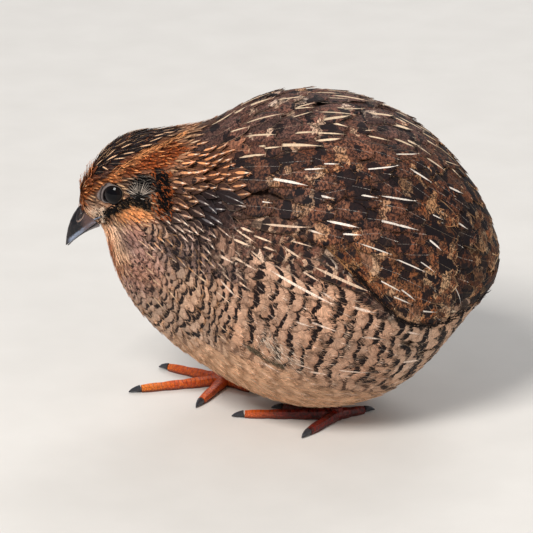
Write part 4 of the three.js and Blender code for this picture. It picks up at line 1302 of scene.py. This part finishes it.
# Bill, nostrils and corners of the mouth
MOUTH_BACK = (-41.0, 50.9)
MOUTH_SLOPE = (-0.663, 0.748)
NOSTRIL_AT = np.array([-48.15, 12.35])
NOSTRIL_HALF = (1.6, 0.74)
NOSTRIL_RIM = srgb(150, 122, 108)
GAPE_FROM, GAPE_RUN = np.array([-46.0, 10.9]), np.array([4.1, 1.3])
GAPE_THICK, GAPE_UP, GAPE_OUT, GAPE_RAISED = 0.78, 0.52, 0.42, 0.12
# the steel blue is a painted highlight on the upper side of the bill's edge
STEEL_HIGHLIGHT, DARK_HORN = srgb(112, 122, 142), srgb(13, 11, 13)
BILL_TIP = (34, 30, 32)


def dress(mat, *names):
    for name in names:
        mesh = nodes[name].data
        mesh.materials.clear()
        mesh.materials.append(mat)
        for face in mesh.polygons:
            face.material_index = 0


def bill_material(name, low, band, top, band_edge, top_edge, at_base=None):
    """Bands of colour by the height above the line of the mouth, which slopes to the tip.
    On the upper bill the middle band is a painted highlight along the cutting edge.
    """
    g = Graph(name)
    spot = g.millimetres()
    x, _, z = g.split_place(spot)
    grain = g.noise(spot, 2.2, 3.0)
    high = (x - MOUTH_BACK[0]) * MOUTH_SLOPE[0] + (z - MOUTH_BACK[1]) * MOUTH_SLOPE[1]
    high = high + (grain - 0.5) * 0.5
    # the middle band: a painted highlight on the upper bill, the lower bill's own grey below
    colour = g.mix(g.ramp(high, *band_edge), rgba(*low), rgba(*band))
    colour = g.mix(g.ramp(high, *top_edge), colour, rgba(*top))
    if at_base:
        share = g.calc("ADD", g.ramp(x, -48.4, -46.6) * 0.8, (grain - 0.5) * 1.2, clamp=True)
        colour = g.mix(share, colour, rgba(*at_base))
    colour = g.mix(g.ramp(x, -50.2, -51.6), colour, rgba(*BILL_TIP))
    return g.finish(colour, 0.26, grain, 0.12, specular=0.35)


def on_bill(tree, q, side):
    """Points of the bill that the side view shows at places q, with their normals."""
    way = Vector((0, side * HIGH, LOW))
    spots, normals = [], []
    for u, v in q:
        middle = Vector((u, 0, SIGHT + v / HIGH))
        at, n, *_ = tree.ray_cast(middle + way * 30, -way)
        spots.append(at or middle + way * 2)
        normals.append(n or way)
    return np.array(spots), np.array(normals)


# size, height above the bill, colour and paleness of each ring of a nostril; the darkest ring
# is the slit, painted shade in place of an opening
NOSTRIL_RINGS = (
    (1.28, -0.1, (20, 18, 22), 0), (1.2, 0.05, (30, 26, 30), 0.6), (1.08, 0.1, (40, 32, 34), 1),
    (0.95, 0.04, (24, 18, 20), 0.3), (0.85, 0.0, (8, 6, 8), 0), (0.5, 0.02, (26, 18, 18), 0),
    (0.02, 0.06, (58, 42, 40), 0),
)


def nostril_material():
    g = Graph("nostril")
    return g.finish(g.tint(), 0.4)


def nostril(name, side, tree, material):
    turn = np.linspace(0, 2 * math.pi, 40, endpoint=False)
    long_way, wide_way = angles(66.0), angles(-24.0)
    pale_rim = np.clip(0.9 * np.sin(turn) - 0.5 * np.cos(turn), 0, 1)[:, None]
    outline = (NOSTRIL_HALF[0] * np.cos(turn)[:, None] * long_way
               + NOSTRIL_HALF[1] * np.sin(turn)[:, None] * wide_way)
    rings, tints = [], []
    for size, high, tint, rim in NOSTRIL_RINGS:
        spots, normals = on_bill(tree, NOSTRIL_AT + size * outline, side)
        rings.append(spots + normals * high)
        tints.append(between(srgb(*tint), NOSTRIL_RIM, rim * pale_rim))
    make_tinted(f"nostril_{name}", np.stack(rings), np.stack(tints), material, side < 0)


def gape(name, side, material):
    """The bill's edge, running back among the feathers to the corner of the mouth; its upper
    side carries a painted steel-blue highlight that fades towards the corner.
    """
    t = np.linspace(0, 1, 16)
    thick = np.where(t < 0.1, 7 * t, GAPE_THICK * (1 - t) ** 0.6) + 0.02
    turn = np.linspace(0, 2 * math.pi, 12, endpoint=False)
    line = GAPE_FROM + t[:, None] * GAPE_RUN
    mid = seen_at(line, side)
    out = outward(mid)
    up = along(seen_at(line + np.array([-0.06, 0.2]), side) - mid, out)
    ring = (up[:, None] * (GAPE_UP * np.cos(turn))[None, :, None]
            + out[:, None] * (GAPE_OUT * np.sin(turn))[None, :, None])
    spots = mid[:, None] + out[:, None] * GAPE_RAISED + ring * thick[:, None, None]
    # painted highlight on the upper side, fading towards the corner of the mouth
    highlight_share = ease(-0.35, 0.1, np.cos(turn))[None, :, None] * ease(1.0, 0.5, t)[:, None, None]
    make_tinted(f"gape_{name}", spots, between(DARK_HORN, STEEL_HIGHLIGHT, highlight_share), material, side < 0)


# the upper bill's steel-blue band along the cutting edge is a painted highlight
dress(bill_material("bill_upper", (14, 14, 18), (136, 148, 170), (9, 11, 18), (0.05, 0.3),
                    (0.75, 1.4), (92, 70, 66)), "bill_upper")
dress(bill_material("bill_lower", (24, 22, 24), (96, 88, 92), (70, 64, 68), (-0.15, -0.5),
                    (-1.0, -1.8)), "bill_lower")
bill = nodes["bill_upper"].data
bill_tree = BVHTree.FromPolygons([v.co / MM for v in bill.vertices],
                                 [tuple(f.vertices) for f in bill.polygons])
horn = nostril_material()
for name, side in SIDES:
    nostril(name, side, bill_tree, horn)
for name, side in SIDES:
    gape(name, side, horn)


# Claws, legs and feet
def claw_material():
    g = Graph("claws")
    grain = g.noise(g.millimetres(), 1.6, 3.0)
    return g.finish(g.mix(grain, rgba(20, 21, 25), rgba(56, 59, 66)), 0.3, grain, 0.2, 0.0001)


def foot_material(side, ball, deep, bright, far):
    """Red or orange skin with scutes, reckoned from the ball of the foot; painted shade darkens
    the creases between the scutes and the skin next to the floor.
    """
    g = Graph(f"foot_skin_{side}")
    spot = g.millimetres()
    x, y, z = g.split_place(spot)
    dx, dy = x - ball[0], y - ball[1]
    away = g.calc("SQRT", dx * dx + dy * dy)
    # scutes: plates across the toes, each a step in the distance from the ball of the foot
    plate = g.calc("FRACT", away * 0.95 + g.noise(spot, 0.8, 1.0))
    crease = g.ramp(abs(plate - 0.5), 0.5, 0.36)
    cells = g.put("ShaderNodeTexVoronoi", {"Vector": spot, "Scale": 1.7}, "Distance",
                  feature="DISTANCE_TO_EDGE")
    height = g.mix(g.ramp(z, 0.9, 2.1), g.ramp(cells, 0.02, 0.14), crease)
    grain = g.noise(spot, 1.1, 3.0)
    colour = g.mix(g.ramp(grain, 0.3, 0.7), rgba(*deep), rgba(*bright))
    colour = g.mix(g.ramp(away, 12.0, 22.0), colour, rgba(*far))
    # painted shade where the toes meet the floor
    colour = g.mix(g.ramp(z, 1.0, 0.0), colour, rgba(96, 26, 8))
    # painted shade in the creases between the scutes
    colour = g.times(colour, g.mix(height, (0.45, 0.4, 0.38, 1), (1, 1, 1, 1)))
    return g.finish(colour, 0.42, height, 0.6, 0.00025)


dress(claw_material(), *(name for name in nodes if name.startswith("claw")))
# The left foot, nearer the camera, is painted darker than the right: painted shadow of her body over
# it. The far ends of its toes, out of that shadow, are painted lighter; on both feet the toes also
# turn yellower towards their tips.
for name, ball, *shades in (
    ("left", (13.2, -8.5), (58, 5, 1), (118, 22, 2), (200, 84, 14)),
    ("right", (-13.9, 14.0), (178, 60, 6), (218, 98, 14), (222, 118, 24)),
):
    dress(foot_material(name, ball, *shades), f"foot_{name}", f"leg_{name}")


# Down, seen between the feathers
def down_material():
    g = Graph("down")
    grain = g.noise(g.metres(), 1500.0, 3.0)
    tone = g.mix(g.ramp(grain, 0.3, 0.7), (0.35, 0.33, 0.32, 1), (0.9, 0.9, 0.9, 1))
    return g.finish(g.times(g.attribute("ground")[0], tone), 0.85, grain, 0.6, 0.0004)


skin_colour = np.concatenate([looks(skin_at)["ground"] * 0.6, np.ones((len(skin_at), 1))], 1)
make("skin", skin_at, [skin_faces], down_material(), ("torso", "neck", "head"),
     colours={"ground": skin_colour})

# Floor, light and camera
def floor_material():
    g = Graph("floor")
    grain = g.noise(g.metres(), 60.0, 4.0)
    return g.finish(g.mix(grain, (0.62, 0.6, 0.57, 1), (0.7, 0.68, 0.65, 1)), 0.8)


FLOOR_WIDE = 8
bpy.ops.mesh.primitive_plane_add(size=FLOOR_WIDE)
floor = bpy.context.object
floor.name = "floor"
floor.data.materials.append(floor_material())
LIGHT_TARGET = Vector((0, 0, 0.04))


def turn_to(piece, target):
    piece.rotation_euler = (target - piece.location).to_track_quat("-Z", "Y").to_euler()


def lamp(name, at, size, power, colour=(1, 1, 1)):
    light = bpy.data.lights.new(name, "AREA")
    light.energy, light.size, light.color = power, size, colour
    piece = add_object(name, light)
    piece.location = at
    turn_to(piece, LIGHT_TARGET)


lamp("key", (-0.45, -0.75, 0.95), 0.4, 17, (1.0, 0.97, 0.93))
lamp("fill", (0.8, -0.7, 0.45), 0.9, 2.2, (1.0, 0.98, 0.95))
lamp("back", (0.3, 0.9, 0.8), 0.6, 5)
world = bpy.data.worlds.new("studio")
bpy.context.scene.world = world
world.use_nodes = True
backdrop = world.node_tree.nodes["Background"].inputs
backdrop[0].default_value = (0.96, 0.97, 1.0, 1)
backdrop[1].default_value = 0.36
bpy.context.scene.view_settings.view_transform = "Standard"

CAMERA_AWAY = 0.9
camera = add_object("camera", bpy.data.cameras.new("camera"))
target = Vector((-0.0038, 0, SIGHT * MM))
camera.location = target + CAMERA_AWAY * Vector((0, -HIGH, LOW))
turn_to(camera, target)
camera.data.sensor_width = 36
camera.data.lens = 253.3
camera.data.clip_start = 0.05
bpy.context.scene.camera = camera
